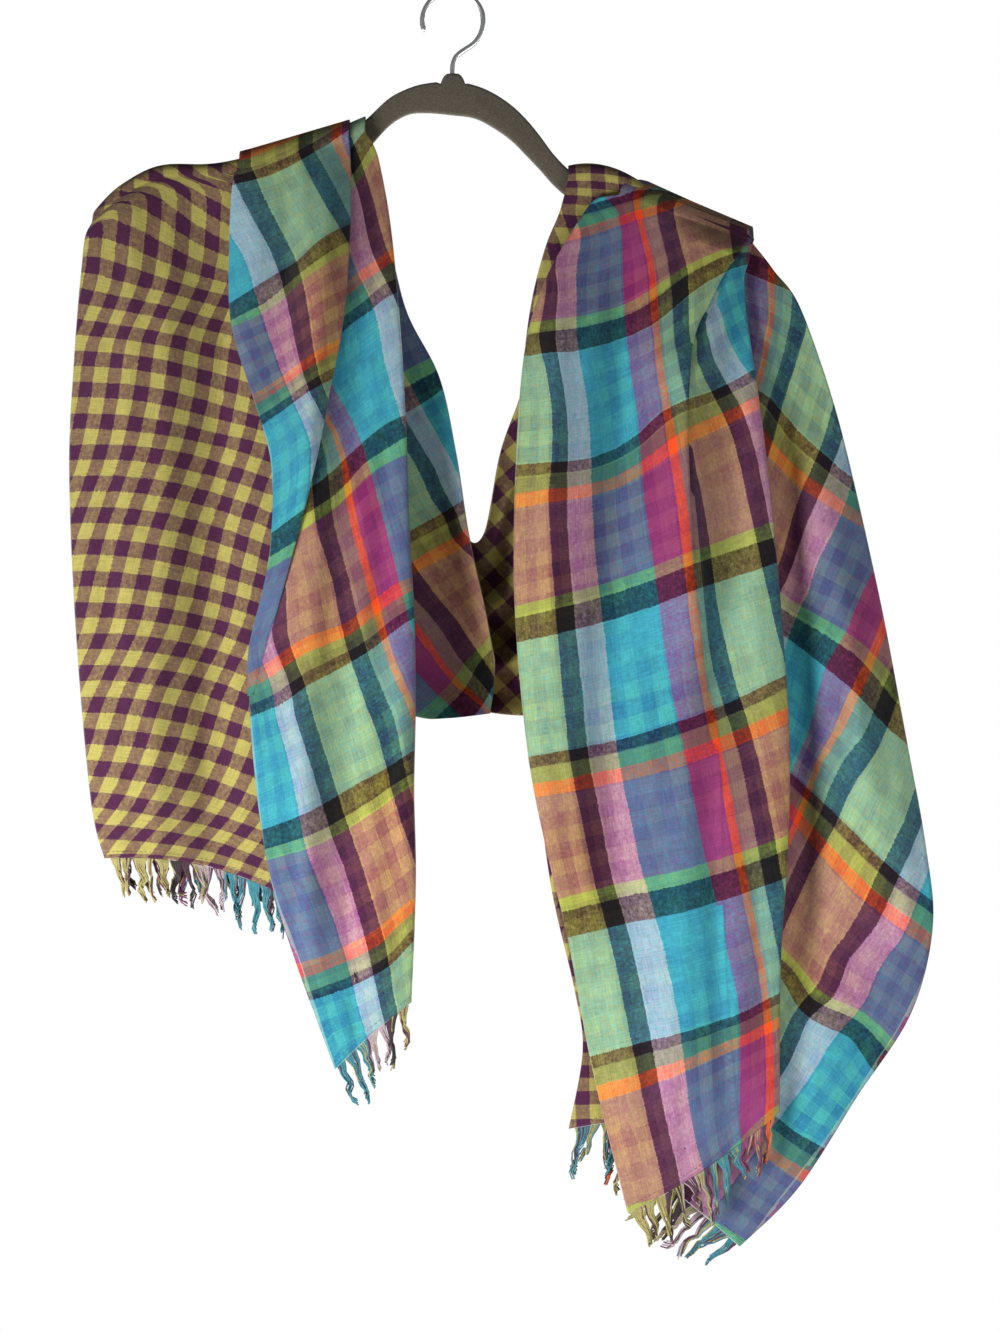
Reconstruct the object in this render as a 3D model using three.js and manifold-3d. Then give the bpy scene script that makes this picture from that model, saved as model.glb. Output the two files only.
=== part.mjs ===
// Fringed cotton scarf worn round a flocked clothes hanger.
// Millimetres, +Z up. The front of the hanger faces -Y, and the origin is the
// top of the hook's inside, where a rail carries it.
// The cloth is one rectangle; each stretch of it that shows is its own wall.

import * as THREE from "three";
import { mergeVertices } from "three/addons/utils/BufferGeometryUtils.js";
import Module from "manifold-3d";

// ---------- driving sizes ----------
const wall = 1.2;               // double-faced cloth, with its slack
const seamGap = 0.3;            // between one stretch and the next
const hangerThickness = 6;
const hangerBevel = 1.2;
const knobTop = -52;
const wireRadius = 1.75;
const hookInnerRadius = 18;
const armClearance = 4.5;       // hanger's middle plane to the innermost layer
const layerStepAtArm = 2.8;     // from layer to layer where they cross the arm
const layerStepBelow = 5;       // from layer to layer where they hang free
const armZone = [-110, -210];   // heights between which the step opens out
const lipLength = 6;            // how far a layer runs down behind the arm
const roundedEdge = 13;         // width over which a folded edge turns back
const stripHeight = 3;          // fringe heading
const fringeLength = 27;
const lockSpacing = 9;
const lockWidth = 3.2;

// ---------- colours ----------
const paint = (color, roughness = 0.9, metalness = 0) =>
  new THREE.MeshStandardMaterial({ color, roughness, metalness });
const plaidBlue = 0x4f8f9c;
const plaidGreen = 0x93b58c;
const ginghamPlum = 0x7d6548;
const fringeMix = 0xa8a05c;
const flockTaupe = 0x6b6152;
const wireSilver = 0xb9bcc0;

// ---------- tables ----------
const table = (columns, rows) => rows.map((row) =>
  Object.fromEntries(columns.map((name, index) => [name, row[index]])));

// Sections of the stretches that lie in layers over an arm, from the arm down.
const layerColumns = ["leftX", "leftZ", "rightX", "rightZ", "lift"];

const leftInnerRows = table(layerColumns, [
  [-221, -134.5, -84, -95, 0],
  [-231, -152, -76, -112, 0],
  [-237, -176, -71, -155, 0],
  [-242, -240, -68, -220, 0],
  [-245, -309, -67, -298, 2],
  [-241, -408, -66, -407, 3],
  [-231, -518, -66, -520, 5],
  [-222, -556, -66, -588, 9],
]);

const leftGinghamRows = table(layerColumns, [
  [-226, -132, -70, -90, 3],
  [-235, -150, -54, -110, 2],
  [-240, -176, -44, -152, 0],
  [-245, -240, -37, -217, 0],
  [-248, -309, -32, -290, 2],
  [-244, -408, -29, -402, 4],
  [-234, -522, -27, -545, 12],
  [-225, -561, -29, -640, 24],
]);

const leftPlaidRows = table(layerColumns, [
  [-77, -88.5, -57, -80, 0],
  [-77, -116, -48, -110, 0],
  [-77, -153, -40, -155, 0],
  [-86, -218, -34, -218, 0],
  [-96, -290, -30, -287, 0],
  [-109, -355, -28, -347, 0],
  [-127, -420, -25, -402, 2],
  [-131, -459, -24, -459, 3],
  [-124, -534, -25, -517, 3],
  [-110, -600, -24, -576, 3],
  [-76, -697, -27, -654, 2],
]);

const leftFlapRows = table(layerColumns, [
  [-138, -103, -67, -82, 0],
  [-142, -124, -66, -112, 0],
  [-144, -160, -66, -153, 0],
  [-143, -214, -70, -212, 0],
  [-129, -261, -78, -257, 0],
  [-116, -309, -88, -309, 0],
  [-118, -368, -103, -366, 0],
  [-131, -424, -120, -426, 0],
]);

const rightInnerRows = table(layerColumns, [
  [75, -112, 124, -124, 6],
  [70, -140, 140, -155, 0],
  [60, -166, 160, -187, 0],
  [51, -202, 178, -216, 0],
  [46, -244, 189, -250, 0],
  [45, -303, 198, -303, 0],
  [46, -394, 208, -394, 0],
  [53, -491, 214, -488, 0],
  [63, -576, 212, -563, 0],
  [79, -647, 209, -634, 0],
  [84, -686, 208, -686, 0],
  [75, -736, 208, -720, 2],
]);

const rightFrontRows = table(layerColumns, [
  [122, -121, 193, -151, 0],
  [99, -134, 192, -171, 2],
  [78, -152, 188, -186, 4],
  [60, -188, 189, -208, 4],
  [47, -231, 193, -237, 3],
  [41, -303, 202, -303, 2],
  [40, -394, 211, -394, 2],
  [48, -488, 217, -485, 3],
  [60, -553, 216, -556, 4],
  [74, -611, 212, -618, 4],
  [90, -696, 211, -668, 3],
  [113, -790, 211, -725, -4],
]);

const rightBackRows = table(layerColumns, [
  [150, -143, 193, -156, 0],
  [152, -172, 207, -179, 0],
  [150, -205, 225, -204, 0],
  [146, -262, 247, -266, 0],
  [140, -325, 263, -335, 0],
  [134, -390, 279, -408, 0],
  [128, -455, 293, -482, 0],
  [125, -520, 306, -552, 0],
  [122, -580, 311, -606, 0],
  [118, -632, 297, -662, 0],
  [112, -684, 262, -716, 2],
  [106, -722, 224, -775, 3],
  [100, -746, 186, -813, 3],
]);

// Sections of the stretches that hang behind the arms, from one arm to the other.
const drapeColumns =
  ["lowX", "lowZ", "lowY", "neckX", "neckZ", "neckY", "side", "lift", "bow"];

const swagLeftRows = table(drapeColumns, [
  [-226, -145.8, 7.3, -70, -103.8, 7.3, 0, 3, 0],
  [-206, -232, 9, -44, -156, 8, 0, 0, 2],
  [-165, -330, 12, -30, -206, 9, 0, -4, 4],
  [-105, -412, 17, -9, -248, 11, 0, -6, 6],
  [-58, -456, 23, 2, -298, 14, 3, -4, 9],
  [-24, -470, 28, 10, -350, 17, 4, 0, 9],
  [-3, -471, 31, 20, -395, 20, 4, 0, 7],
  [24, -468, 33, 27, -432, 24, 1, 0, 4],
]);

const backDrapeRows = table(drapeColumns, [
  [-138, -122.5, 12.9, -58, -98.7, 12.9, 0, 0, 0],
  [-126, -218, 18, -42, -158, 13, 0, 0, 3],
  [-100, -318, 27, -30, -222, 16, 0, -4, 6],
  [-66, -402, 38, -12, -292, 20, 2, -4, 10],
  [-22, -458, 46, 6, -348, 25, 5, 0, 14],
  [28, -468, 48, 20, -350, 27, 6, 0, 16],
  [78, -474, 45, 31, -296, 24, 10, 4, 14],
  [132, -504, 38, 45, -256, 20, 18, 18, 11],
  [194, -548, 28, 59, -202, 16, 26, 50, 8],
  [254, -588, 16, 69, -154, 13.5, 28, 88, 6],
  [305, -604, 5, 76, -130, 12.6, 30, 104, 3],
]);

// Folds in the layers: the line each one follows, how far it spreads to each
// side of that line, and how far it stands forward.
const foldColumns = ["topX", "topZ", "endX", "endZ", "spreadLeft", "spreadRight", "height"];

const leftStackFolds = table(foldColumns, [
  [-198, -140, -214, -560, 20, 22, 5],
  [-160, -125, -150, -570, 16, 20, 4],
  [-112, -110, -100, -640, 26, 26, 7],
  [-60, -120, -48, -640, 16, 18, 5],
]);

const rightStackFolds = table(foldColumns, [
  [100, -150, 82, -700, 26, 24, 6],
  [150, -170, 150, -740, 24, 28, 8],
  [196, -190, 205, -620, 18, 20, 4],
  [240, -300, 285, -600, 24, 22, 9],
]);

const leftGinghamFolds = table(foldColumns, [
  [-228, -170, -236, -470, 7, 8, 2],
  [-182, -140, -190, -500, 7, 8, 2],
]);

const leftPlaidFolds = table(foldColumns, [
  [-42, -140, -60, -420, 9, 8, 3],
  [-58, -380, -46, -660, 8, 9, 3],
  [-98, -450, -88, -640, 10, 9, 3],
]);

const leftFlapFolds = table(foldColumns, [
  [-128, -120, -126, -300, 9, 10, 2.5],
  [-80, -115, -96, -300, 8, 7, 3],
]);

const rightFrontFolds = table(foldColumns, [
  [190, -156, 150, -262, 34, 6, 9],
  [150, -240, 158, -420, 24, 7, 6],
  [66, -200, 60, -420, 9, 10, 3],
  [118, -300, 112, -560, 12, 12, 2.5],
  [176, -480, 186, -700, 12, 10, 4],
  [96, -560, 118, -760, 10, 12, 3],
]);

const rightBackFolds = table(foldColumns, [
  [218, -220, 268, -520, 9, 9, 4],
  [262, -400, 240, -720, 12, 12, 4],
]);

// Gathers of the stretches behind the arms, in shares of their width and run.
const gatherColumns = ["acrossStart", "acrossEnd", "from", "to", "spread", "depth"];

const swagLeftGathers = table(gatherColumns, [
  [0.25, 0.22, 0.15, 0.95, 0.09, 5],
  [0.55, 0.5, 0.1, 1.0, 0.09, -4],
  [0.8, 0.78, 0.2, 1.0, 0.07, 4],
]);

const backDrapeGathers = table(gatherColumns, [
  [0.12, 0.1, 0.1, 0.92, 0.06, 8],
  [0.3, 0.26, 0.05, 0.9, 0.06, -8],
  [0.46, 0.42, 0.1, 0.95, 0.065, 9],
  [0.64, 0.6, 0.05, 0.92, 0.06, -7],
  [0.82, 0.78, 0.1, 0.9, 0.06, 7],
]);

// ---------- curves ----------
const between = (start, end, share) => start + (end - start) * share;

function easeStep(low, high, value) {
  const share = Math.min(Math.max((value - low) / (high - low), 0), 1);
  return share * share * (3 - 2 * share);
}

// One section at a place between the table's rows, on a smooth curve through them.
function sectionAt(rows, place) {
  const last = rows.length - 1;
  const index = Math.min(Math.max(Math.floor(place), 0), last - 1);
  const share = place - index;
  const pick = (offset) => rows[Math.min(Math.max(index + offset, 0), last)];
  const [before, start, end, after] = [pick(-1), pick(0), pick(1), pick(2)];
  const section = {};
  for (const name of Object.keys(start)) {
    const slopeStart = (end[name] - before[name]) / 2;
    const slopeEnd = (after[name] - start[name]) / 2;
    const change = end[name] - start[name];
    const square = 3 * change - 2 * slopeStart - slopeEnd;
    const cube = slopeStart + slopeEnd - 2 * change;
    section[name] = start[name] + share * (slopeStart + share * (square + share * cube));
  }
  return section;
}

// How far the folds of a table stand forward at a point of the hanging cloth.
function foldHeight(folds, x, z) {
  let height = 0;
  for (const fold of folds) {
    const run = [fold.endX - fold.topX, fold.endZ - fold.topZ];
    const length = Math.hypot(run[0], run[1]);
    const along = ((x - fold.topX) * run[0] + (z - fold.topZ) * run[1]) / length / length;
    const toRight = ((x - fold.topX) * -run[1] + (z - fold.topZ) * run[0]) / length;
    const spread = toRight > 0 ? fold.spreadRight : fold.spreadLeft;
    const fade = easeStep(-0.12, 0.18, along) * (1 - easeStep(0.8, 1.12, along));
    height += fold.height * fade * Math.exp(-((toRight / spread) ** 2));
  }
  return height;
}

function gatherDepth(gathers, across, run) {
  let depth = 0;
  for (const gather of gathers) {
    const line = between(gather.acrossStart, gather.acrossEnd, run);
    const reach = easeStep(gather.from, gather.from + 0.3, run)
      * (1 - easeStep(gather.to - 0.3, gather.to, run));
    depth += gather.depth * reach * Math.exp(-(((across - line) / gather.spread) ** 2));
  }
  return depth;
}

// ---------- surfaces ----------
// A layer over an arm. order counts outwards from the arm. turn says which edges
// are folded, and whether the cloth turns back (1) or forward (-1) there.
function layer({ rows, order, stack, folds = [], turn = {}, across, along }) {
  const armRadius = armClearance + order * layerStepAtArm;
  const overArm = [1.35, 1, 0.72, 0.5, 0.28];

  function hanging(share, place) {
    const section = sectionAt(rows, place);
    const hump = 4 * share * (1 - share);
    const x = between(section.leftX, section.rightX, share);
    const belowTop = armRadius * (1 - easeStep(0, 1, place));
    const z = between(section.leftZ, section.rightZ, share) + section.lift * hump - belowTop;
    const open = easeStep(-armZone[0], -armZone[1], -z);
    const step = between(layerStepAtArm, layerStepBelow, open);
    const width = section.rightX - section.leftX;
    const settled = easeStep(0, 1.4, place);
    const reach = Math.min(roundedEdge, width / 2.5);
    const turned = (edge, distance) => {
      const inside = Math.min(distance / reach, 1);
      return (edge ?? 0) * (step / 2 - 1) * (1 - Math.sqrt(1 - (1 - inside) ** 2));
    };
    const y = -(armClearance + order * step)
      - settled * (foldHeight(stack, x, z) + foldHeight(folds, x, z))
      + settled * turned(turn.left, share * width)
      + settled * turned(turn.right, (1 - share) * width);
    return new THREE.Vector3(x, y, z);
  }

  function wrapped(share, turnShare) {
    const section = rows[0];
    const x = between(section.leftX, section.rightX, share);
    const top = between(section.leftZ, section.rightZ, share)
      + section.lift * 4 * share * (1 - share);
    const angle = Math.PI * Math.min(turnShare, 1);
    const drop = turnShare > 1 ? lipLength : 0;
    const z = top - armRadius + armRadius * Math.sin(angle) - drop;
    return new THREE.Vector3(x, -armRadius * Math.cos(angle), z);
  }

  const places = overArm.map((turnShare) => ({ turnShare }));
  for (let step = 0; step <= along; step += 1) {
    places.push({ place: (rows.length - 1) * step / along });
  }
  const shares = edgeShares(across, turn);
  const point = (share, entry) => (entry.turnShare === undefined
    ? hanging(share, entry.place) : wrapped(share, entry.turnShare));
  return {
    grid: places.map((entry) => shares.map((share) => point(share, entry))),
    hem: (share) => hanging(share, rows.length - 1),
    aboveHem: (share) => hanging(share, rows.length - 1.1),
  };
}

// A stretch behind the arms, across from its low edge to its neck edge.
function drape({ rows, gathers, across, along }) {
  function hanging(share, run) {
    const section = sectionAt(rows, run * (rows.length - 1));
    const hump = 4 * share * (1 - share);
    const x = between(section.lowX, section.neckX, share) + section.side * hump;
    const z = between(section.lowZ, section.neckZ, share) + section.lift * hump;
    const y = between(section.lowY, section.neckY, share) + section.bow * hump
      + gatherDepth(gathers, share, run);
    return new THREE.Vector3(x, y, z);
  }
  const shares = edgeShares(across, {});
  const grid = [];
  for (let step = 0; step <= along; step += 1) {
    grid.push(shares.map((share) => hanging(share, step / along)));
  }
  return { grid };
}

// Places across a section, closer together near a folded edge.
function edgeShares(count, turn) {
  const shares = [];
  for (let step = 0; step <= count; step += 1) {
    const even = step / count;
    const leftBias = turn.left ? 0.5 : 0;
    const rightBias = turn.right ? 0.5 : 0;
    const fromLeft = even * even * (3 - 2 * even);
    const bias = between(leftBias, rightBias, even);
    shares.push(between(even, fromLeft, bias));
  }
  return shares;
}

// ---------- walls ----------
function gridNormal(grid, row, column) {
  const lastRow = grid.length - 1;
  const lastColumn = grid[0].length - 1;
  const down = new THREE.Vector3().subVectors(
    grid[Math.min(row + 1, lastRow)][column], grid[Math.max(row - 1, 0)][column]);
  const over = new THREE.Vector3().subVectors(
    grid[row][Math.min(column + 1, lastColumn)], grid[row][Math.max(column - 1, 0)]);
  return new THREE.Vector3().crossVectors(down, over).normalize();
}

// A closed wall round a grid of middle points: both faces and its four edges.
function wallGeometry(grid) {
  const rows = grid.length;
  const columns = grid[0].length;
  const positions = [];
  for (const side of [0.5, -0.5]) {
    for (let row = 0; row < rows; row += 1) {
      for (let column = 0; column < columns; column += 1) {
        const point = grid[row][column].clone()
          .addScaledVector(gridNormal(grid, row, column), side * wall);
        positions.push(point.x, point.y, point.z);
      }
    }
  }
  const near = (row, column) => row * columns + column;
  const far = (row, column) => rows * columns + row * columns + column;
  const faces = [];
  const quad = (a, b, c, d) => faces.push(a, b, c, a, c, d);
  for (let row = 0; row < rows - 1; row += 1) {
    for (let column = 0; column < columns - 1; column += 1) {
      quad(near(row, column), near(row + 1, column),
        near(row + 1, column + 1), near(row, column + 1));
      quad(far(row, column), far(row, column + 1),
        far(row + 1, column + 1), far(row + 1, column));
    }
  }
  for (let row = 0; row < rows - 1; row += 1) {
    const right = columns - 1;
    quad(near(row, 0), far(row, 0), far(row + 1, 0), near(row + 1, 0));
    quad(near(row, right), near(row + 1, right), far(row + 1, right), far(row, right));
  }
  for (let column = 0; column < columns - 1; column += 1) {
    const low = rows - 1;
    quad(near(0, column), near(0, column + 1), far(0, column + 1), far(0, column));
    quad(near(low, column), far(low, column), far(low, column + 1), near(low, column + 1));
  }
  const geometry = new THREE.BufferGeometry();
  geometry.setAttribute("position", new THREE.Float32BufferAttribute(positions, 3));
  geometry.setIndex(faces);
  return geometry;
}

// ---------- fringe ----------
const wasm = await Module();
wasm.setup();

function toSolid(geometry) {
  geometry.deleteAttribute("normal");
  geometry.deleteAttribute("uv");
  const merged = mergeVertices(geometry, 1e-4);
  return new wasm.Manifold(new wasm.Mesh({
    numProp: 3,
    vertProperties: new Float32Array(merged.attributes.position.array),
    triVerts: new Uint32Array(merged.index.array),
  }));
}

function fromSolid(solid) {
  const mesh = solid.getMesh();
  const geometry = new THREE.BufferGeometry();
  geometry.setAttribute("position", new THREE.BufferAttribute(mesh.vertProperties, 3));
  geometry.setIndex(new THREE.BufferAttribute(mesh.triVerts, 1));
  return geometry;
}

// A bar of four sides along a row of stations, each with its half width and depth.
function barGeometry(stations) {
  const positions = [];
  for (const { centre, side, out, halfWidth, halfDepth } of stations) {
    for (const [sideSign, outSign] of [[-1, -1], [1, -1], [1, 1], [-1, 1]]) {
      const corner = centre.clone().addScaledVector(side, sideSign * halfWidth)
        .addScaledVector(out, outSign * halfDepth);
      positions.push(corner.x, corner.y, corner.z);
    }
  }
  const faces = [];
  for (let station = 0; station < stations.length - 1; station += 1) {
    for (let corner = 0; corner < 4; corner += 1) {
      const next = (corner + 1) % 4;
      const [a, b] = [station * 4 + corner, station * 4 + next];
      faces.push(a, b, b + 4, a, b + 4, a + 4);
    }
  }
  const end = (stations.length - 1) * 4;
  faces.push(0, 2, 1, 0, 3, 2, end, end + 1, end + 2, end, end + 2, end + 3);
  const geometry = new THREE.BufferGeometry();
  geometry.setAttribute("position", new THREE.Float32BufferAttribute(positions, 3));
  geometry.setIndex(faces);
  return geometry;
}

// The knotted-free locks of one stretch of a cut end, fused into their heading.
function fringeGeometry(surface, from, to, seed) {
  const stripSteps = 10;
  const outward = new THREE.Vector3(0, -1, 0);
  const frameAt = (share) => {
    const hem = surface.hem(share);
    const down = hem.clone().sub(surface.aboveHem(share)).normalize();
    const side = surface.hem(share + 0.01).sub(surface.hem(share - 0.01)).normalize();
    return { hem, down, side };
  };
  const stripStations = [];
  for (let step = 0; step <= stripSteps; step += 1) {
    const { hem, down } = frameAt(between(from, to, step / stripSteps));
    stripStations.push({
      centre: hem.addScaledVector(down, seamGap * 2 + stripHeight / 2),
      side: outward, out: down, halfWidth: wall / 2, halfDepth: stripHeight / 2,
    });
  }
  let solid = toSolid(barGeometry(stripStations));
  const width = surface.hem(to).distanceTo(surface.hem(from));
  const locks = Math.round(width / lockSpacing);
  for (let lock = 0; lock < locks; lock += 1) {
    const jitter = Math.sin(seed + lock * 2.4);
    const share = between(from, to, (lock + 0.5 + 0.2 * jitter) / locks);
    const { hem, down, side } = frameAt(share);
    const length = fringeLength * (0.8 + 0.2 * Math.sin(seed * 3 + lock * 1.7));
    const lean = 0.35 * Math.sin(seed + lock * 1.3);
    const stations = [];
    for (const run of [0, 0.5, 1]) {
      const centre = hem.clone()
        .addScaledVector(down, seamGap * 2 + stripHeight * 0.6 + run * length)
        .addScaledVector(side, lean * run * run * length * 0.7);
      stations.push({
        centre, side, out: outward,
        halfWidth: lockWidth / 2 * between(1, 0.4, run), halfDepth: between(0.9, 0.5, run),
      });
    }
    solid = solid.add(toSolid(barGeometry(stations)));
  }
  return fromSolid(solid);
}

// ---------- hanger ----------
const hangerColumns = ["x", "top", "height"];
const hangerSections = table(hangerColumns, [
  [-224, -142, 6], [-217, -138, 12], [-189, -129, 15], [-141, -116, 16], [-100, -104.5, 17],
  [-80, -98, 18], [-68, -91.5, 19], [-56, -81.5, 20], [-42, -68.5, 18], [-30, -62, 17],
  [-18, -58.5, 19], [0, -57, 22], [14, -59.5, 21.5], [26, -64.5, 22.5], [38, -72.5, 23],
  [48, -82, 23.5], [57, -93, 22], [66, -105, 20], [78, -116.5, 18], [95, -125, 17],
  [124, -138, 16], [161, -155, 15], [190, -168, 12], [197, -172, 6],
]);

function hangerBodyGeometry() {
  const curvePoints = (level) => new THREE.SplineCurve(hangerSections.map((section) =>
    new THREE.Vector2(section.x, section.top - level * section.height))).getPoints(34);
  const knob = [[-8, -58.5], [-6.5, -54], [-4, knobTop], [4, knobTop], [6.5, -54], [8, -58.5]]
    .map(([x, z]) => new THREE.Vector2(x, z));
  const top = curvePoints(0);
  const outline = [
    ...top.filter((point) => point.x < -9), ...knob, ...top.filter((point) => point.x > 9),
    ...curvePoints(1).reverse(),
  ];
  const geometry = new THREE.ExtrudeGeometry(new THREE.Shape(outline), {
    depth: hangerThickness - 2 * hangerBevel,
    bevelThickness: hangerBevel, bevelSize: hangerBevel, bevelOffset: -hangerBevel,
    bevelSegments: 1, steps: 1,
  });
  geometry.translate(0, 0, hangerBevel - hangerThickness / 2);
  geometry.rotateX(Math.PI / 2);
  return geometry;
}

function hookGeometry() {
  const radius = hookInnerRadius + wireRadius;
  const stem = [[0, knobTop + seamGap], [0, knobTop + 5], [3, knobTop + 12]];
  const arc = [];
  for (let degrees = -50; degrees <= 200; degrees += 12.5) {
    const angle = THREE.MathUtils.degToRad(degrees);
    arc.push([radius * Math.cos(angle), -hookInnerRadius + radius * Math.sin(angle)]);
  }
  const route = new THREE.CatmullRomCurve3([...stem, ...arc]
    .map(([x, z]) => new THREE.Vector3(x, 0, z)));
  const section = new THREE.Shape();
  const sides = 8;
  for (let corner = 0; corner <= sides; corner += 1) {
    const angle = 2 * Math.PI * corner / sides;
    const spot = [wireRadius * Math.cos(angle), wireRadius * Math.sin(angle)];
    if (corner === 0) section.moveTo(...spot);
    else if (corner < sides) section.lineTo(...spot);
  }
  section.closePath();
  return new THREE.ExtrudeGeometry(section,
    { extrudePath: route, steps: 34, bevelEnabled: false });
}

// ---------- the stretches ----------
const surfaces = {
  left_inner_panel: layer({
    rows: leftInnerRows, order: 0, stack: leftStackFolds, turn: { left: -1 },
    across: 9, along: 14,
  }),
  left_gingham_panel: layer({
    rows: leftGinghamRows, order: 1, stack: leftStackFolds, folds: leftGinghamFolds,
    turn: { left: 1, right: -1 }, across: 13, along: 16,
  }),
  left_plaid_panel: layer({
    rows: leftPlaidRows, order: 2, stack: leftStackFolds, folds: leftPlaidFolds,
    turn: { right: 1 }, across: 9, along: 20,
  }),
  left_plaid_flap: layer({
    rows: leftFlapRows, order: 3, stack: leftStackFolds, folds: leftFlapFolds,
    turn: { right: 1 }, across: 8, along: 14,
  }),
  right_inner_panel: layer({
    rows: rightInnerRows, order: 1, stack: rightStackFolds, turn: { right: -1 },
    across: 10, along: 18,
  }),
  right_front_panel: layer({
    rows: rightFrontRows, order: 2, stack: rightStackFolds, folds: rightFrontFolds,
    turn: { right: 1 }, across: 14, along: 22,
  }),
  right_back_panel: layer({
    rows: rightBackRows, order: 0, stack: rightStackFolds, folds: rightBackFolds,
    across: 11, along: 20,
  }),
  swag_left: drape({ rows: swagLeftRows, gathers: swagLeftGathers, across: 14, along: 14 }),
  back_drape: drape({ rows: backDrapeRows, gathers: backDrapeGathers, across: 22, along: 20 }),
};

const stretchColours = {
  left_inner_panel: plaidBlue,
  left_gingham_panel: ginghamPlum,
  left_plaid_panel: plaidBlue,
  left_plaid_flap: plaidGreen,
  right_inner_panel: ginghamPlum,
  right_front_panel: plaidBlue,
  right_back_panel: plaidGreen,
  swag_left: plaidBlue,
  back_drape: ginghamPlum,
};

const fringeColumns = ["node", "stretch", "from", "to", "seed"];
const fringes = table(fringeColumns, [
  ["fringe_left_inner", "left_inner_panel", 0.03, 0.97, 1],
  ["fringe_left_gingham", "left_gingham_panel", 0.02, 0.96, 2],
  ["fringe_left_plaid", "left_plaid_panel", 0.03, 0.96, 3],
  ["fringe_right_inner", "right_inner_panel", 0.03, 0.97, 4],
  ["fringe_right_front", "right_front_panel", 0.03, 0.96, 5],
  ["fringe_right_back", "right_back_panel", 0.03, 0.96, 6],
]);

// ---------- the object ----------
const scarfOnHanger = new THREE.Group();

function add(name, geometry, material) {
  const mesh = new THREE.Mesh(geometry, material);
  mesh.name = name;
  scarfOnHanger.add(mesh);
}

add("hanger_body", hangerBodyGeometry(), paint(flockTaupe, 0.95));
add("hook", hookGeometry(), paint(wireSilver, 0.3, 1));
for (const [name, surface] of Object.entries(surfaces)) {
  add(name, wallGeometry(surface.grid), paint(stretchColours[name]));
}
for (const { node, stretch, from, to, seed } of fringes) {
  add(node, fringeGeometry(surfaces[stretch], from, to, seed), paint(fringeMix));
}

export default scarfOnHanger;
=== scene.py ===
"""A fringed, double-faced cotton scarf worn round a flocked clothes hanger.

Lengths are millimetres until a mesh is made, and metres from there on.
The cloth's own place is kept as across (from the turquoise selvedge) and along
(from the right-hand cut end), so plaid and gingham run true over every fold.
"""
import math

import bmesh
import bpy
import numpy as np
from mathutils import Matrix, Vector


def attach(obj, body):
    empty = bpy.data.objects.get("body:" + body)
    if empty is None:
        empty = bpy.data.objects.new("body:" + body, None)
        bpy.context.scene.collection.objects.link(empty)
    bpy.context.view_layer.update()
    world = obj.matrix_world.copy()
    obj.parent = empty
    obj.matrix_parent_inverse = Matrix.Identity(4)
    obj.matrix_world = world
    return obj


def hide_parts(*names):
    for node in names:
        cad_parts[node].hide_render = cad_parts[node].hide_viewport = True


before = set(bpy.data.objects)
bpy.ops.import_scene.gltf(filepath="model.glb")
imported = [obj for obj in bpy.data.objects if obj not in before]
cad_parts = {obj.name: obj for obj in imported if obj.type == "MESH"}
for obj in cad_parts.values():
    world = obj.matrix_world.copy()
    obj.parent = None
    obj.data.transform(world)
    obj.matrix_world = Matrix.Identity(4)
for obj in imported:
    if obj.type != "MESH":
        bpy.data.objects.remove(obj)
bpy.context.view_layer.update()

MM = 0.001
CLOTH_WIDTH = 598.0
CLOTH_LENGTH = 2124.0
GREEN_SELVEDGE = 596.7
CLOTH_THICKNESS = 0.9
ARM_CLEARANCE = 4.5
STEP_AT_ARM = 2.8
STEP_BELOW = 5.0
ARM_ZONE = (110.0, 210.0)
LIP_LENGTH = 6.0
ROUNDED_EDGE = 13.0
HOOK_INNER_RADIUS = 18.0
WIRE_RADIUS = 1.75
KNOB_TOP = -52.0
HANGER_THICKNESS = 6.0
HANGER_ROUNDING = 2.0
WEAVE_REPEAT = 0.7
SELVEDGE_LINE = 0.7
LOCK_SPACING = 8.0
LOCK_LENGTH = (22, 34)
YARN_SPACING = 0.7
STITCH_SPACING = 3.1
STITCH_HEIGHT = 4.0
PLEAT_SET_BACK = 3.0


def table(names, rows):
    """Rows of numbers under named columns."""
    values = np.array(rows, dtype=float).T
    return dict(zip(names.split(), values))


# ---------- the stretches' sections, as they hang ----------
LAYER = "left_x left_z right_x right_z lift"
left_inner_rows = table(LAYER, [
    (-229, -139, -84, -95, 0), (-234, -155, -76, -112, 0), (-237, -176, -71, -155, 0),
    (-242, -240, -68, -220, 0), (-245, -309, -67, -298, 2), (-241, -408, -66, -407, 3),
    (-231, -518, -66, -520, 5), (-222, -556, -66, -588, 9)])
left_gingham_rows = table(LAYER, [
    (-233, -137, -70, -90, 2), (-238, -153, -54, -110, 2), (-240, -176, -44, -152, 0),
    (-245, -240, -37, -217, 0), (-248, -309, -32, -290, 2), (-244, -408, -29, -402, 4),
    (-234, -522, -27, -545, 12), (-225, -561, -29, -640, 24)])
left_plaid_rows = table(LAYER, [
    (-77, -88.5, -57, -80, 0), (-77, -116, -48, -110, 0), (-77, -153, -40, -155, 0),
    (-86, -218, -34, -218, 0), (-96, -290, -30, -287, 0), (-109, -355, -28, -347, 0),
    (-127, -420, -25, -402, 2), (-131, -459, -24, -459, 3), (-124, -534, -25, -517, 3),
    (-110, -600, -24, -576, 3), (-76, -697, -27, -654, 2)])
left_flap_rows = table(LAYER, [
    (-138, -103, -67, -82, 0), (-142, -124, -66, -112, 0), (-144, -160, -66, -153, 0),
    (-143, -214, -70, -212, 0), (-129, -261, -78, -257, 0), (-116, -309, -88, -309, 0),
    (-118, -368, -103, -366, 0), (-131, -424, -120, -426, 0), (-132, -456, -128, -456, 0)])
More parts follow.
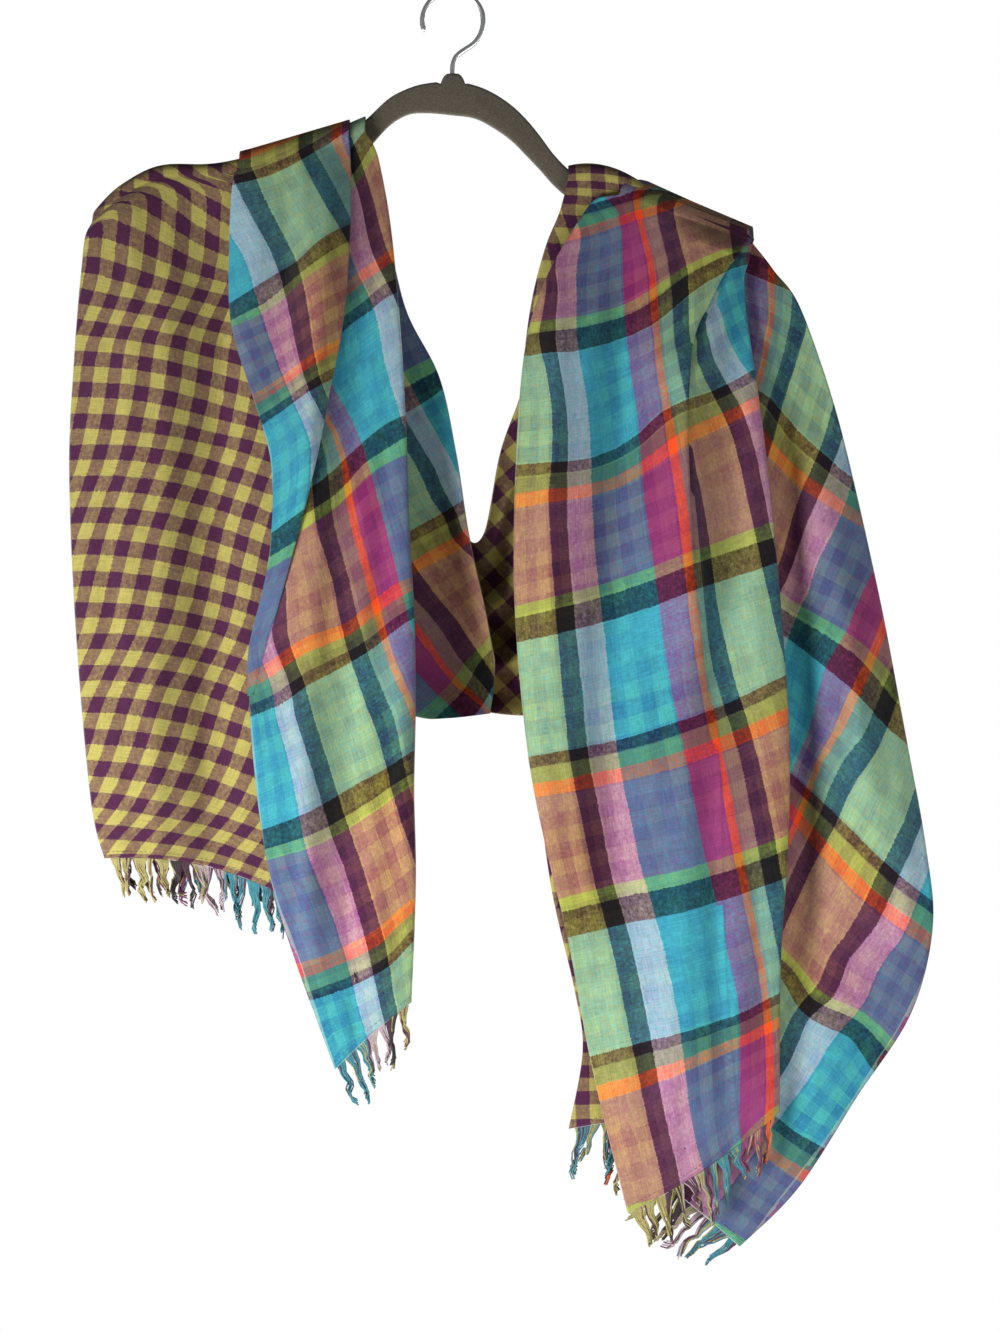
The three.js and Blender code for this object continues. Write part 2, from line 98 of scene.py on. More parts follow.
right_inner_rows = table(LAYER, [
    (75, -112, 124, -124, 6), (70, -140, 140, -155, 0), (60, -166, 160, -187, 0),
    (51, -202, 178, -216, 0), (46, -244, 189, -250, 0), (45, -303, 198, -303, 0),
    (46, -394, 208, -394, 0), (53, -491, 214, -488, 0), (63, -576, 212, -563, 0),
    (79, -647, 209, -634, 0), (84, -686, 208, -686, 0), (75, -736, 208, -720, 2)])
right_front_rows = table(LAYER, [
    (108, -121, 193, -151, 0), (90, -137, 192, -171, 2), (76, -158, 188, -186, 4),
    (60, -188, 189, -208, 4), (47, -231, 193, -237, 3), (41, -303, 202, -303, 2),
    (40, -394, 211, -394, 2), (48, -488, 217, -485, 3), (60, -553, 216, -556, 4),
    (74, -611, 212, -618, 4), (90, -696, 211, -668, 3), (113, -790, 211, -725, -4)])
right_back_rows = table(LAYER, [
    (150, -143, 193, -156, 0), (152, -172, 207, -179, 0), (150, -205, 225, -204, 0),
    (146, -262, 247, -266, 0), (140, -325, 263, -335, 0), (134, -390, 279, -408, 0),
    (128, -455, 293, -482, 0), (125, -520, 306, -552, 0), (122, -580, 311, -606, 0),
    (118, -632, 297, -662, 0), (112, -684, 262, -716, 2), (106, -722, 224, -775, 3),
    (100, -746, 186, -813, 3)])

DRAPE = "low_x low_z low_y neck_x neck_z neck_y side lift bow"
swag_left_rows = table(DRAPE, [
    (-226, -145.8, 7.3, -70, -103.8, 7.3, 0, 3, 0), (-206, -232, 9, -44, -156, 8, 0, 0, 2),
    (-165, -330, 12, -30, -206, 9, 0, -4, 4), (-105, -412, 17, -9, -248, 11, 0, -6, 6),
    (-58, -456, 23, 2, -298, 14, 3, -4, 9), (-24, -470, 28, 10, -350, 17, 4, 0, 9),
    (-3, -471, 31, 20, -395, 20, 4, 0, 7), (24, -468, 33, 27, -432, 24, 1, 0, 4)])
back_drape_rows = table(DRAPE, [
    (-138, -122.5, 12.9, -58, -98.7, 12.9, 0, 0, 0), (-126, -218, 18, -42, -158, 13, 0, 0, 3),
    (-100, -318, 27, -30, -222, 16, 0, -4, 6), (-66, -402, 38, -12, -292, 20, 2, -4, 10),
    (-22, -458, 46, 6, -348, 25, 5, 0, 14), (28, -468, 48, 20, -350, 27, 6, 0, 16),
    (78, -474, 45, 31, -296, 24, 10, 4, 14), (132, -504, 38, 45, -256, 20, 18, 18, 11),
    (194, -548, 28, 59, -202, 16, 26, 50, 8), (254, -588, 16, 69, -154, 13.5, 28, 88, 6),
    (305, -604, 5, 76, -130, 12.6, 30, 104, 3)])

# Folds: the line each follows, how far it spreads to each side, how far it stands out.
STACK_DEPTH, FOLD_DEPTH = 1.8, 1.5
FOLD = "top_x top_z end_x end_z left right height"
left_stack_folds = table(FOLD, [
    (-202, -140, -212, -560, 20, 34, 7), (-152, -150, -154, -560, 15, 14, -5),
    (-84, -112, -98, -620, 26, 18, 7), (-34, -150, -28, -600, 12, 12, 4)])
right_stack_folds = table(FOLD, [
    (66, -165, 62, -640, 16, 26, 6), (110, -180, 104, -600, 14, 13, -5),
    (152, -180, 146, -740, 22, 18, 8), (196, -190, 205, -620, 18, 20, 4),
    (240, -300, 285, -600, 24, 22, 9)])
left_gingham_folds = table(FOLD, [
    (-228, -170, -236, -470, 7, 8, 2), (-182, -140, -190, -500, 7, 8, 2),
    (-206, -136, -212, -300, 4, 6, 1.2), (-168, -300, -160, -560, 5, 5, -1.3),
    (-222, -360, -206, -540, 6, 4, -1.1), (-196, -420, -188, -590, 5, 6, 1.3),
    (-150, -128, -158, -262, 4, 5, 1.1)])
left_plaid_folds = table(FOLD, [
    (-42, -140, -60, -420, 9, 8, 3), (-58, -380, -46, -660, 8, 9, 3),
    (-98, -450, -88, -640, 10, 9, 3), (-112, -420, -116, -560, 5, 6, 1.6),
    (-74, -300, -84, -452, 5, 7, -1.5), (-36, -420, -32, -560, 4, 5, 1.3),
    (-70, -560, -62, -684, 5, 4, -1.4), (-104, -520, -100, -660, 4, 5, -1.3),
    (-58, -150, -52, -262, 4, 4, 1.2)])
left_flap_folds = table(FOLD, [
    (-128, -120, -126, -300, 9, 10, 2.5), (-76, -118, -96, -330, 15, 10, 6),
    (-108, -110, -106, -238, 4, 5, -1.2), (-136, -190, -124, -322, 4, 4, 1.1),
    (-98, -108, -88, -196, 4, 3, 1.0)])
right_front_folds = table(FOLD, [
    (190, -156, 150, -262, 34, 6, 7), (150, -240, 158, -420, 24, 7, 6),
    (66, -200, 60, -420, 9, 10, 3), (118, -300, 112, -560, 12, 12, 2.5),
    (176, -480, 186, -700, 12, 10, 4), (96, -560, 118, -760, 10, 12, 3),
    (112, -136, 84, -250, 6, 8, 1.8), (134, -142, 112, -232, 5, 7, -1.3),
    (96, -330, 90, -520, 6, 5, -1.4), (134, -430, 140, -640, 6, 7, -1.6),
    (190, -250, 196, -430, 6, 5, 1.4), (158, -560, 168, -742, 5, 7, 1.5),
    (74, -470, 92, -640, 5, 6, 1.4), (196, -560, 200, -700, 4, 6, -1.3),
    (146, -640, 150, -770, 5, 5, -1.3), (56, -290, 52, -400, 4, 5, -1.0)])
right_back_folds = table(FOLD, [
    (221, -240, 231, -660, 16, 17, -9),
    (218, -220, 268, -520, 9, 9, 4), (262, -400, 240, -720, 12, 12, 4),
    (232, -330, 214, -560, 5, 7, 1.5), (286, -470, 296, -620, 5, 5, 1.6),
    (204, -420, 222, -640, 6, 5, -1.4), (252, -590, 206, -760, 6, 7, -1.6),
    (196, -190, 226, -300, 4, 5, 1.2), (292, -560, 262, -700, 4, 5, -1.2)])

GATHER = "start end from to spread depth"
swag_left_gathers = table(GATHER, [
    (0.25, 0.22, 0.15, 0.95, 0.09, 5), (0.55, 0.5, 0.1, 1.0, 0.09, -4),
    (0.8, 0.78, 0.2, 1.0, 0.07, 4), (0.38, 0.4, 0.4, 1.0, 0.035, 1.6),
    (0.68, 0.62, 0.3, 1.0, 0.03, -1.5), (0.9, 0.88, 0.35, 0.95, 0.03, 1.3)])
back_drape_gathers = table(GATHER, [
    (0.12, 0.1, 0.1, 0.92, 0.06, 8), (0.3, 0.26, 0.05, 0.9, 0.06, -8),
    (0.46, 0.42, 0.1, 0.95, 0.065, 9), (0.64, 0.6, 0.05, 0.92, 0.06, -7),
    (0.82, 0.78, 0.1, 0.9, 0.06, 7), (0.2, 0.24, 0.3, 0.95, 0.025, 2),
    (0.38, 0.33, 0.2, 0.8, 0.022, -2), (0.55, 0.52, 0.3, 0.95, 0.025, 1.8),
    (0.73, 0.7, 0.25, 0.85, 0.022, 2), (0.9, 0.88, 0.2, 0.8, 0.025, -1.6)])

# The knife pleat of the right front: where it lies, how deep the cloth is tucked under.
pleat_rows = table("share tuck", [
    (0.972, 0), (0.935, 22), (0.885, 34), (0.81, 24), (0.72, 20), (0.675, 11), (0.68, 4),
    (0.70, 0), (0.70, 0), (0.70, 0), (0.70, 0), (0.70, 0)])

# ---------- where the plaid's lines fall ----------
# On an edge: height, then the cloth's own place. Inside: x, height, place.
right_front_along_left = [
    (-790, 0), (-689, 101), (-612, 176), (-587, 203), (-521, 272), (-495, 300), (-422, 374),
    (-398, 402), (-335, 470), (-307, 498), (-237, 573), (-216, 600), (-159, 673), (-122, 712)]
right_front_along_right = [
    (-153, 630), (-178, 572), (-246, 498), (-271, 470), (-354, 392), (-442, 300), (-473, 272),
    (-555, 194), (-648, 101), (-671, 73), (-724, 0)]
right_front_along_inside = [
    (81, -234, 573), (112, -224, 573), (130, -217, 573), (153, -198, 573), (87, -303, 498),
    (120, -287, 498), (134, -274, 498), (173, -257, 498), (97, -409, 374), (132, -398, 374),
    (157, -388, 374), (108, -484, 300), (145, -472, 300), (178, -460, 300), (110, -604, 176),
    (132, -599, 176), (170, -589, 176), (131, -677, 101), (182, -662, 101), (150, -779, 0),
    (187, -747, 0)]
right_front_across_left = [(-136, 500), (-154, 536), (-188, 566), (-225, 582)] + [
    (height, round(GREEN_SELVEDGE)) for height in range(-262, -800, -66)]
right_front_across_outside_pleat = [
    (113, -127, 473), (122, -127, 467), (133, -127, 454), (108, -144, 491), (117, -144, 473),
    (133, -144, 454), (143, -144, 441), (178, -144, 400), (192, -155, 384), (176, -176, 406),
    (66, -183, 550), (80, -183, 530), (110, -183, 491), (127, -183, 473), (140, -183, 454),
    (152, -183, 441), (170, -197, 416), (55, -225, 564), (67, -225, 550), (80, -225, 530),
    (113, -225, 491), (130, -225, 473), (143, -225, 454), (154, -228, 439), (150, -264, 454),
    (62, -329, 564), (74, -329, 550), (90, -329, 530), (124, -329, 491), (143, -329, 473),
    (151, -329, 466), (68, -420, 564), (80, -420, 550), (99, -420, 530), (136, -420, 491),
    (154, -420, 473)]
right_front_across_inside_pleat = [
    (188, -178, 330), (195, -224, 341), (198, -257, 366), (205, -329, 380), (170, -204, 366),
    (162, -214, 386), (154, -235, 400), (150, -267, 422), (152, -329, 454), (160, -329, 441),
    (190, -329, 400), (202, -329, 386), (163, -420, 454), (176, -420, 441), (212, -420, 398)]
right_front_across_hem = [
    (138, -781, 564), (148, -779, 550), (164, -768, 530), (187, -747, 491), (201, -734, 473),
    (207, -727, 467), (211, -724, 464)]
# Between pleat and hem the warp lines spread evenly: height, both edges' x, place at the right.
right_front_spread = [
    (-498, 48.8, 213.8, 420.6), (-576, 62, 212.6, 440.6), (-654, 82.6, 211.9, 457.6)]
left_plaid_along_right = [
    (-649, 0), (-603, 50), (-583, 70), (-511, 138), (-488, 166), (-404, 240), (-378, 268),
    (-298, 337), (-274, 364), (-194, 439), (-167, 467), (-103, 535), (-82, 562)]
left_plaid_along_left = [
    (-697, 0), (-646, 50), (-626, 70), (-560, 138), (-540, 166), (-468, 240), (-440, 268)]
left_plaid_along_inside = [
    (-72, -110, 562), (-55, -87, 562), (-58, -183, 462), (-38, -168, 462), (-67, -215, 439),
    (-55, -207, 439), (-40, -194, 439), (-86, -317, 364), (-62, -295, 364), (-33, -274, 364),
    (-91, -335, 346), (-57, -304, 346), (-32, -287, 346), (-91, -415, 268), (-70, -408, 268),
    (-53, -394, 268), (-30, -378, 268), (-111, -460, 240), (-94, -448, 240), (-68, -434, 240),
    (-41, -415, 240), (-99, -531, 166), (-70, -515, 166), (-42, -500, 166), (-79, -537, 148),
    (-38, -511, 148), (-96, -630, 66), (-77, -623, 66), (-58, -614, 66), (-46, -606, 66),
    (-94, -651, 42), (-68, -643, 42), (-40, -628, 42), (-72, -686, 0), (-44, -670, 0)]
left_plaid_across_right = [
    (-82, 265), (-114, 256), (-173, 240), (-205, 223), (-257, 211), (-290, 202), (-348, 181),
    (-387, 172), (-420, 164), (-469, 144), (-517, 130), (-563, 114), (-623, 93), (-649, 88)]
left_plaid_across_inside = [
    (-67, -95, 234), (-66, -140, 211), (-66, -173, 202), (-67, -194, 188), (-70, -205, 179),
    (-77, -257, 164), (-85, -290, 127), (-93, -348, 107), (-106, -387, 74), (-116, -420, 58),
    (-129, -469, 0), (-114, -469, 38), (-101, -469, 58), (-89, -469, 73), (-53, -469, 114),
    (-38, -469, 127), (-27, -469, 139), (-120, -563, 0), (-92, -563, 38), (-72, -563, 58),
    (-59, -563, 73), (-25, -563, 114), (-112, -431, 58), (-104, -452, 58), (-100, -623, 0),
    (-76, -697, 0)]
left_flap_along_left = [
    (-101, 665), (-110, 656), (-124, 637), (-200, 562), (-212, 545), (-216, 535), (-261, 467),
    (-280, 439), (-349, 364), (-373, 337), (-424, 285), (-456, 252)]
left_flap_along_inside = [
    (-144, -202, 562), (-128, -192, 562), (-112, -182, 562), (-100, -177, 562), (-86, -164, 562),
    (-70, -153, 562), (-144, -213, 545), (-125, -204, 545), (-97, -183, 545), (-67, -161, 545)]
left_flap_across_left = [
    (-101, 70), (-126, 58), (-159, 38), (-183, 23), (-199, 20), (-231, 11), (-257, 6), (-296, 0),
    (-373, 0)]
left_flap_across_right = [
    (-92, 150), (-148, 127), (-166, 114), (-205, 99), (-257, 81), (-290, 50), (-348, 36),
    (-387, 32), (-424, 40), (-456, 8)]
left_flap_across_inside = [
    (-129, -116, 73), (-100, -176, 73), (-101, -100, 114), (-74, -153, 114), (-93, -98, 127),
    (-67, -148, 127), (-140, -126, 58), (-113, -182, 58)]
right_back_across = [
    (189, -181, 328), (190, -221, 328), (206, -190, 306), (203, -226, 306), (197, -256, 306),
    (220, -200, 291), (215, -232, 291), (204, -266, 291), (200, -281, 291), (229, -218, 278),
    (224, -233, 278), (219, -250, 278), (207, -291, 278), (247, -266, 237), (240, -290, 237),
    (228, -319, 237), (220, -342, 237), (212, -369, 237), (252, -292, 222), (231, -342, 222),
    (222, -369, 222), (213, -388, 222), (259, -318, 202), (250, -342, 202), (237, -369, 202),
    (231, -391, 202), (218, -420, 202), (272, -374, 164), (259, -398, 164), (242, -435, 164),
    (231, -481, 164), (220, -506, 164), (278, -406, 145), (266, -432, 145), (252, -462, 145),
    (236, -499, 145), (283, -440, 127), (273, -462, 127), (254, -495, 127), (239, -533, 127),
    (286, -462, 114), (273, -491, 114), (253, -525, 114), (237, -562, 114), (218, -600, 114),
    (300, -513, 73), (292, -534, 73), (275, -568, 73), (252, -614, 73), (237, -644, 73),
    (211, -684, 73), (304, -539, 58), (283, -586, 58), (256, -628, 58), (231, -667, 58),
    (309, -569, 38), (292, -612, 38), (268, -655, 38), (237, -696, 38), (211, -732, 38),
    (311, -625, 0), (284, -679, 0), (239, -748, 0), (189, -814, 0)]
right_back_along = [
    (185, -180, 573), (187, -168, 590), (208, -176, 590), (219, -194, 573), (198, -259, 498),
    (198, -265, 490), (258, -315, 498), (207, -292, 479), (205, -301, 470), (264, -339, 479),
    (266, -348, 470), (213, -389, 402), (213, -400, 392), (218, -420, 374), (283, -441, 402),
    (287, -462, 392), (295, -489, 374), (217, -504, 300), (311, -589, 300), (311, -597, 292),
    (218, -530, 276), (311, -618, 276), (281, -686, 194), (272, -699, 176), (239, -748, 101),
    (233, -755, 94), (228, -762, 83), (223, -770, 73), (192, -810, 5), (213, -628, 194),
    (233, -653, 194), (212, -638, 176), (256, -677, 176), (213, -732, 101), (218, -757, 83),
    (100, -746, 0), (148, -787, 0), (188, -815, 0)]
swag_left_across = [
    (-30, -248, 366), (-18, -271, 366), (-9, -287, 366), (1, -306, 366), (-29, -278, 386),
    (-11, -308, 386), (-2, -328, 386), (7, -349, 386), (-28, -299, 400), (-14, -328, 400),
    (-5, -339, 400), (11, -363, 400), (-24, -372, 441), (-11, -390, 441), (2, -406, 441),
    (16, -426, 441), (28, -444, 441), (-23, -394, 454), (-9, -410, 454), (4, -430, 454),
    (25, -456, 454), (-22, -411, 467), (2, -444, 467), (20, -460, 467), (-14, -431, 473),
    (0, -449, 473), (-23, -442, 491), (-5, -460, 491), (-32, -202, 342), (-100, -368, 496),
    (-132, -218, 440), (-226, -146, 480), (-105, -412, 512), (-165, -330, 508)]
swag_left_along = [
    (-32, -246, 733), (-14, -237, 733), (-30, -257, 743), (-12, -248, 743), (-30, -272, 760),
    (-20, -267, 760), (-8, -258, 760), (-26, -349, 835), (-9, -339, 835), (4, -332, 835),
    (-25, -356, 843), (5, -340, 843), (-23, -369, 854), (-9, -360, 854), (7, -351, 854),
    (-21, -375, 863), (-9, -369, 863), (11, -358, 863), (20, -424, 931), (26, -417, 931),
    (12, -449, 941), (20, -433, 941), (25, -458, 959), (29, -449, 959), (-32, -202, 689),
    (-74, -101, 585), (-124, -160, 604), (-226, -146, 575), (-105, -412, 846), (-165, -330, 752)]


# ---------- curves ----------
def ease(low, high, value):
    share = np.clip((value - low) / (high - low), 0, 1)
    return share * share * (3 - 2 * share)


def mix(start, end, share):
    return start + (end - start) * share


def section_at(rows, place):
    """A section between the table's rows, on a smooth curve through them."""
    place = np.asarray(place, dtype=float)
    last = len(next(iter(rows.values()))) - 1
    index = np.clip(np.floor(place).astype(int), 0, last - 1)
    share = place - index
    section = {}
    for name, values in rows.items():
        before, start, end, after = (
            values[np.clip(index + offset, 0, last)] for offset in (-1, 0, 1, 2))
        slope_start, slope_end, change = (end - before) / 2, (after - start) / 2, end - start
        square = 3 * change - 2 * slope_start - slope_end
        cube = slope_start + slope_end - 2 * change
        section[name] = start + share * (slope_start + share * (square + share * cube))
    return section


def fold_height(folds, x, z):
    """How far a table's folds stand forward at a point of the hanging cloth."""
    height = np.zeros(np.broadcast(x, z).shape)
    for top_x, top_z, end_x, end_z, left, right, tall in zip(*folds.values()):
        run_x, run_z = end_x - top_x, end_z - top_z
        length = math.hypot(run_x, run_z)
        along = ((x - top_x) * run_x + (z - top_z) * run_z) / length ** 2
        to_right = ((x - top_x) * -run_z + (z - top_z) * run_x) / length
        spread = np.where(to_right > 0, right, left)
        fade = ease(-0.12, 0.18, along) * (1 - ease(0.8, 1.12, along))
        height += tall * fade * np.exp(-((to_right / spread) ** 2))
    return height


def gather_depth(gathers, across, run):
    depth = np.zeros(np.broadcast(across, run).shape)
    for start, end, first, last, spread, deep in zip(*gathers.values()):
        line = mix(start, end, run)
        reach = ease(first, first + 0.3, run) * (1 - ease(last - 0.3, last, run))
        depth += deep * reach * np.exp(-(((across - line) / spread) ** 2))
    return depth


def smooth_through(marks, slack=0.004):
    """A smooth surface over x and z through marks of (x, z, value): a bent thin plate."""
    marks = np.array(marks, dtype=float)
    spots, values = marks[:, :2] / 100, marks[:, 2]
    count = len(marks)

    def bend(apart):
        return np.where(apart > 1e-9, apart ** 2 * np.log(np.maximum(apart, 1e-9)), 0)

    apart = np.linalg.norm(spots[:, None] - spots[None], axis=2)
    plane = np.column_stack([np.ones(count), spots])
    system = np.zeros((count + 3, count + 3))
    system[:count, :count] = bend(apart) + slack * np.eye(count)
    system[:count, count:] = plane
    system[count:, :count] = plane.T
    weights = np.linalg.solve(system, np.concatenate([values, np.zeros(3)]))

    def value_at(x, z):
        here = np.stack(np.broadcast_arrays(x, z), axis=-1) / 100
        distance = np.linalg.norm(here[..., None, :] - spots, axis=-1)
        return bend(distance) @ weights[:count] + weights[count] + here @ weights[count + 1:]
    return value_at


# ---------- layers over the arms ----------
def round_shoulder(x, z):
    """The left arm's round end lifts the cloth's top line there, then lets it down."""
    lift = 12 * np.exp(-(((x + 195) / 30) ** 2)) - 9 * np.clip((-215 - x) / 18, 0, 1.3) ** 2
    return lift * (1 - ease(112, 200, -z))


class Layer:
    """A stretch that lies over an arm. order counts outwards from the arm.

    turn_left and turn_right are 1 where that edge rounds back to the next layer in, and -1
    where it rounds forward to the next one out. slant_left tells how far the left edge runs
    to the right on its way up to the arm's top."""

    def __init__(self, rows, order, stack, folds=None, turn_left=0, turn_right=0, slant_left=0):
        self.rows, self.order, self.stack, self.folds = rows, order, stack, folds
        self.slant_left = slant_left
        self.turn_left, self.turn_right = turn_left, turn_right
        self.last = len(rows["lift"]) - 1
        self.arm_radius = ARM_CLEARANCE + order * STEP_AT_ARM

    def hanging(self, share, place):
        section = section_at(self.rows, place)
        hump = 4 * share * (1 - share)
        x = mix(section["left_x"], section["right_x"], share)
        z = mix(section["left_z"], section["right_z"], share) + section["lift"] * hump
        z = z - self.arm_radius * (1 - ease(0, 1, place))
        z = z + round_shoulder(x, z)
        step = mix(STEP_AT_ARM, STEP_BELOW, ease(*ARM_ZONE, -z))
        width = section["right_x"] - section["left_x"]
        settled = ease(0, 1.4, place)
        reach = np.minimum(ROUNDED_EDGE, width / 2.5)

        def turned(way, distance):
            inside = np.clip(distance / reach, 0, 1)
            return way * step / 2 * (1 - np.sqrt(1 - (1 - inside) ** 2))

        height = STACK_DEPTH * fold_height(self.stack, x, z)
        if self.folds:
            height = height + FOLD_DEPTH * fold_height(self.folds, x, z)
        y = -(ARM_CLEARANCE + self.order * step) - settled * height
        y = y + settled * (turned(self.turn_left, share * width)
                           + turned(self.turn_right, (1 - share) * width))
        return np.stack([x, y, z], axis=-1)

    def over_arm(self, share, turn):
        first = {name: values[0] for name, values in self.rows.items()}
        x = mix(first["left_x"], first["right_x"], share)
        top = mix(first["left_z"], first["right_z"], share)
        top = top + first["lift"] * 4 * share * (1 - share)
        angle = np.pi * np.minimum(turn, 1)
        x = x + self.slant_left * (1 - share) * (1 - np.cos(angle))
        top = top + round_shoulder(x, top)
        z = top - self.arm_radius + self.arm_radius * np.sin(angle)
        z = z - LIP_LENGTH * np.clip((turn - 1) / 0.35, 0, 1)
        y = -self.arm_radius * np.cos(angle) + 0 * share
        return np.stack(np.broadcast_arrays(x, y, z), axis=-1)

    def edge(self, side, place):
        return self.hanging(0.0 if side == "left" else 1.0, np.asarray(place, dtype=float))

    def place_beside(self, side, other, other_place):
        """Places whose edge lies as far down as the other layer's edge at its places."""
        fine = np.linspace(0, self.last, 300)
        own = -self.edge(side, fine)[..., 2]
        own = (own - own[0]) / (own[-1] - own[0])
        fine_other = np.linspace(0, other.last, 300)
        theirs = -other.edge(side, fine_other)[..., 2]
        theirs = (theirs - theirs[0]) / (theirs[-1] - theirs[0])
        return np.interp(np.interp(other_place, fine_other, theirs), own, fine)


OVER_ARM_TURNS = np.array([1.35, 1.17, 1, 0.9, 0.8, 0.7, 0.6, 0.5, 0.4, 0.3, 0.2, 0.1])


def even_places(layer, spacing):
    """Places down a layer, a little closer together by the arm."""
    drop = layer.rows["left_z"][0] - layer.rows["left_z"][-1]
    count = max(int(abs(drop) / spacing), 8)
    share = np.linspace(0, 1, count + 1)
    return layer.last * (0.75 * share + 0.25 * share ** 2)


def edge_shares(count, near_left=True, near_right=True):
    """Shares across a section, closer together where its edge is folded."""
    even = np.linspace(0, 1, count + 1)
    eased = even * even * (3 - 2 * even)
    bias = mix(0.7 * near_left, 0.7 * near_right, even)
    return mix(even, eased, bias)


def spread_layer(layer, shares, places):
    """Points of a layer: over the arm first, then hanging. shares may differ by row."""
    shares = np.broadcast_to(shares, (len(places), np.shape(shares)[-1]))
    top = layer.over_arm(shares[0][None, :], OVER_ARM_TURNS[:, None])
    return np.concatenate([top, layer.hanging(shares, np.asarray(places)[:, None])])


def carry_over_arm(points, cloth):
    """Runs the cloth's place on, over the arm, by the length of each thread's path."""
    count = len(OVER_ARM_TURNS)
    for row in range(count - 1, -1, -1):
        step = np.linalg.norm(points[row] - points[row + 1], axis=-1)
        cloth[row] = cloth[row + 1]
        cloth[row, :, 1] += step
    return cloth


def chart(points, across, along):
    """The cloth's own place at each point that hangs, carried on over the arm."""
    cloth = np.zeros(points.shape[:2] + (2,))
    hanging = points[len(OVER_ARM_TURNS):]
    x, z = hanging[..., 0], hanging[..., 2]
    cloth[len(OVER_ARM_TURNS):, :, 0] = np.clip(across(x, z), 0, CLOTH_WIDTH)
    cloth[len(OVER_ARM_TURNS):, :, 1] = np.clip(along(x, z), 0, CLOTH_LENGTH)
    return carry_over_arm(points, cloth)


def on_edge(layer, side, marks):
    """Marks of (height, value) along a layer's edge, as (x, z, value)."""
    edge = layer.edge(side, np.linspace(0, layer.last, 200))
    heights, xs = edge[::-1, 2], edge[::-1, 0]
    return [(np.interp(height, heights, xs), height, value) for height, value in marks]


def run_on(points, start, beside, growth):
    """Places beyond a fold: on from the edge column beside it, along each section.

    start is the cloth's place in the edge column, beside says which end of points
    meets it, and growth is what across gains for each millimetre run, below 0 where it
    falls."""
    ordered = points if beside == "left" else points[:, ::-1]
    steps = np.linalg.norm(np.diff(ordered[..., [0, 2]], axis=1), axis=-1)
    away = np.concatenate([np.zeros((len(points), 1)), np.cumsum(steps, axis=1)], axis=1)
    cloth = np.zeros(points.shape[:2] + (2,))
    cloth[..., 0] = start[:, None, 0] + growth * away
    cloth[..., 1] = start[:, None, 1] + (ordered[..., 2] - ordered[:, :1, 2])
    return cloth if beside == "left" else cloth[:, ::-1]


# ---------- meshes ----------
def new_piece(name, mesh, smooth=True):
    piece = bpy.data.objects.new(name, mesh)
    bpy.context.scene.collection.objects.link(piece)
    if smooth:
        mesh.polygons.foreach_set("use_smooth", [True] * len(mesh.polygons))
    return piece


def cloth_piece(name, stretches, outside, inside):
    """A thin two-faced sheet through grids of points, with the cloth's own place as its UV."""
    spots, places, faces = [], [], []
    for points, cloth in stretches:
        rows, columns = points.shape[:2]
        number = np.arange(rows * columns).reshape(rows, columns) + sum(map(len, spots))
        quads = [number[:-1, :-1], number[1:, :-1], number[1:, 1:], number[:-1, 1:]]
        faces += np.stack(quads, -1).reshape(-1, 4).tolist()
        spots.append(points.reshape(-1, 3))
        places.append(cloth.reshape(-1, 2))
    mesh = bpy.data.meshes.new(name)
    mesh.from_pydata((np.concatenate(spots) * MM).tolist(), [], faces)
    place = mesh.uv_layers.new(name="cloth")
    corners = np.empty(len(mesh.loops), dtype=np.int32)
    mesh.loops.foreach_get("vertex_index", corners)
    place.data.foreach_set("uv", (np.concatenate(places)[corners] * MM).ravel())
    for material in (outside, inside, selvedge):
        mesh.materials.append(material)
    piece = new_piece(name, mesh)
    thickness = piece.modifiers.new("thickness", "SOLIDIFY")
    thickness.thickness = CLOTH_THICKNESS * MM
    thickness.offset = 0
    thickness.material_offset = 1
    thickness.material_offset_rim = 2
    return piece


def flat_size(clothes):
    """Width, length and area of the cut that these charts of the cloth cover, in metres."""
    everywhere = np.concatenate([cloth.reshape(-1, 2) for cloth in clothes])
    width, length = np.ptp(everywhere, axis=0)
    area = 0
    for cloth in clothes:
        across, along = cloth[1:, 1:] - cloth[:-1, :-1], cloth[1:, :-1] - cloth[:-1, 1:]
        area += np.abs(across[..., 0] * along[..., 1] - across[..., 1] * along[..., 0]).sum() / 2
    width, length, area = width * MM, length * MM, area * MM * MM
    return width, length, min(area, width * length)


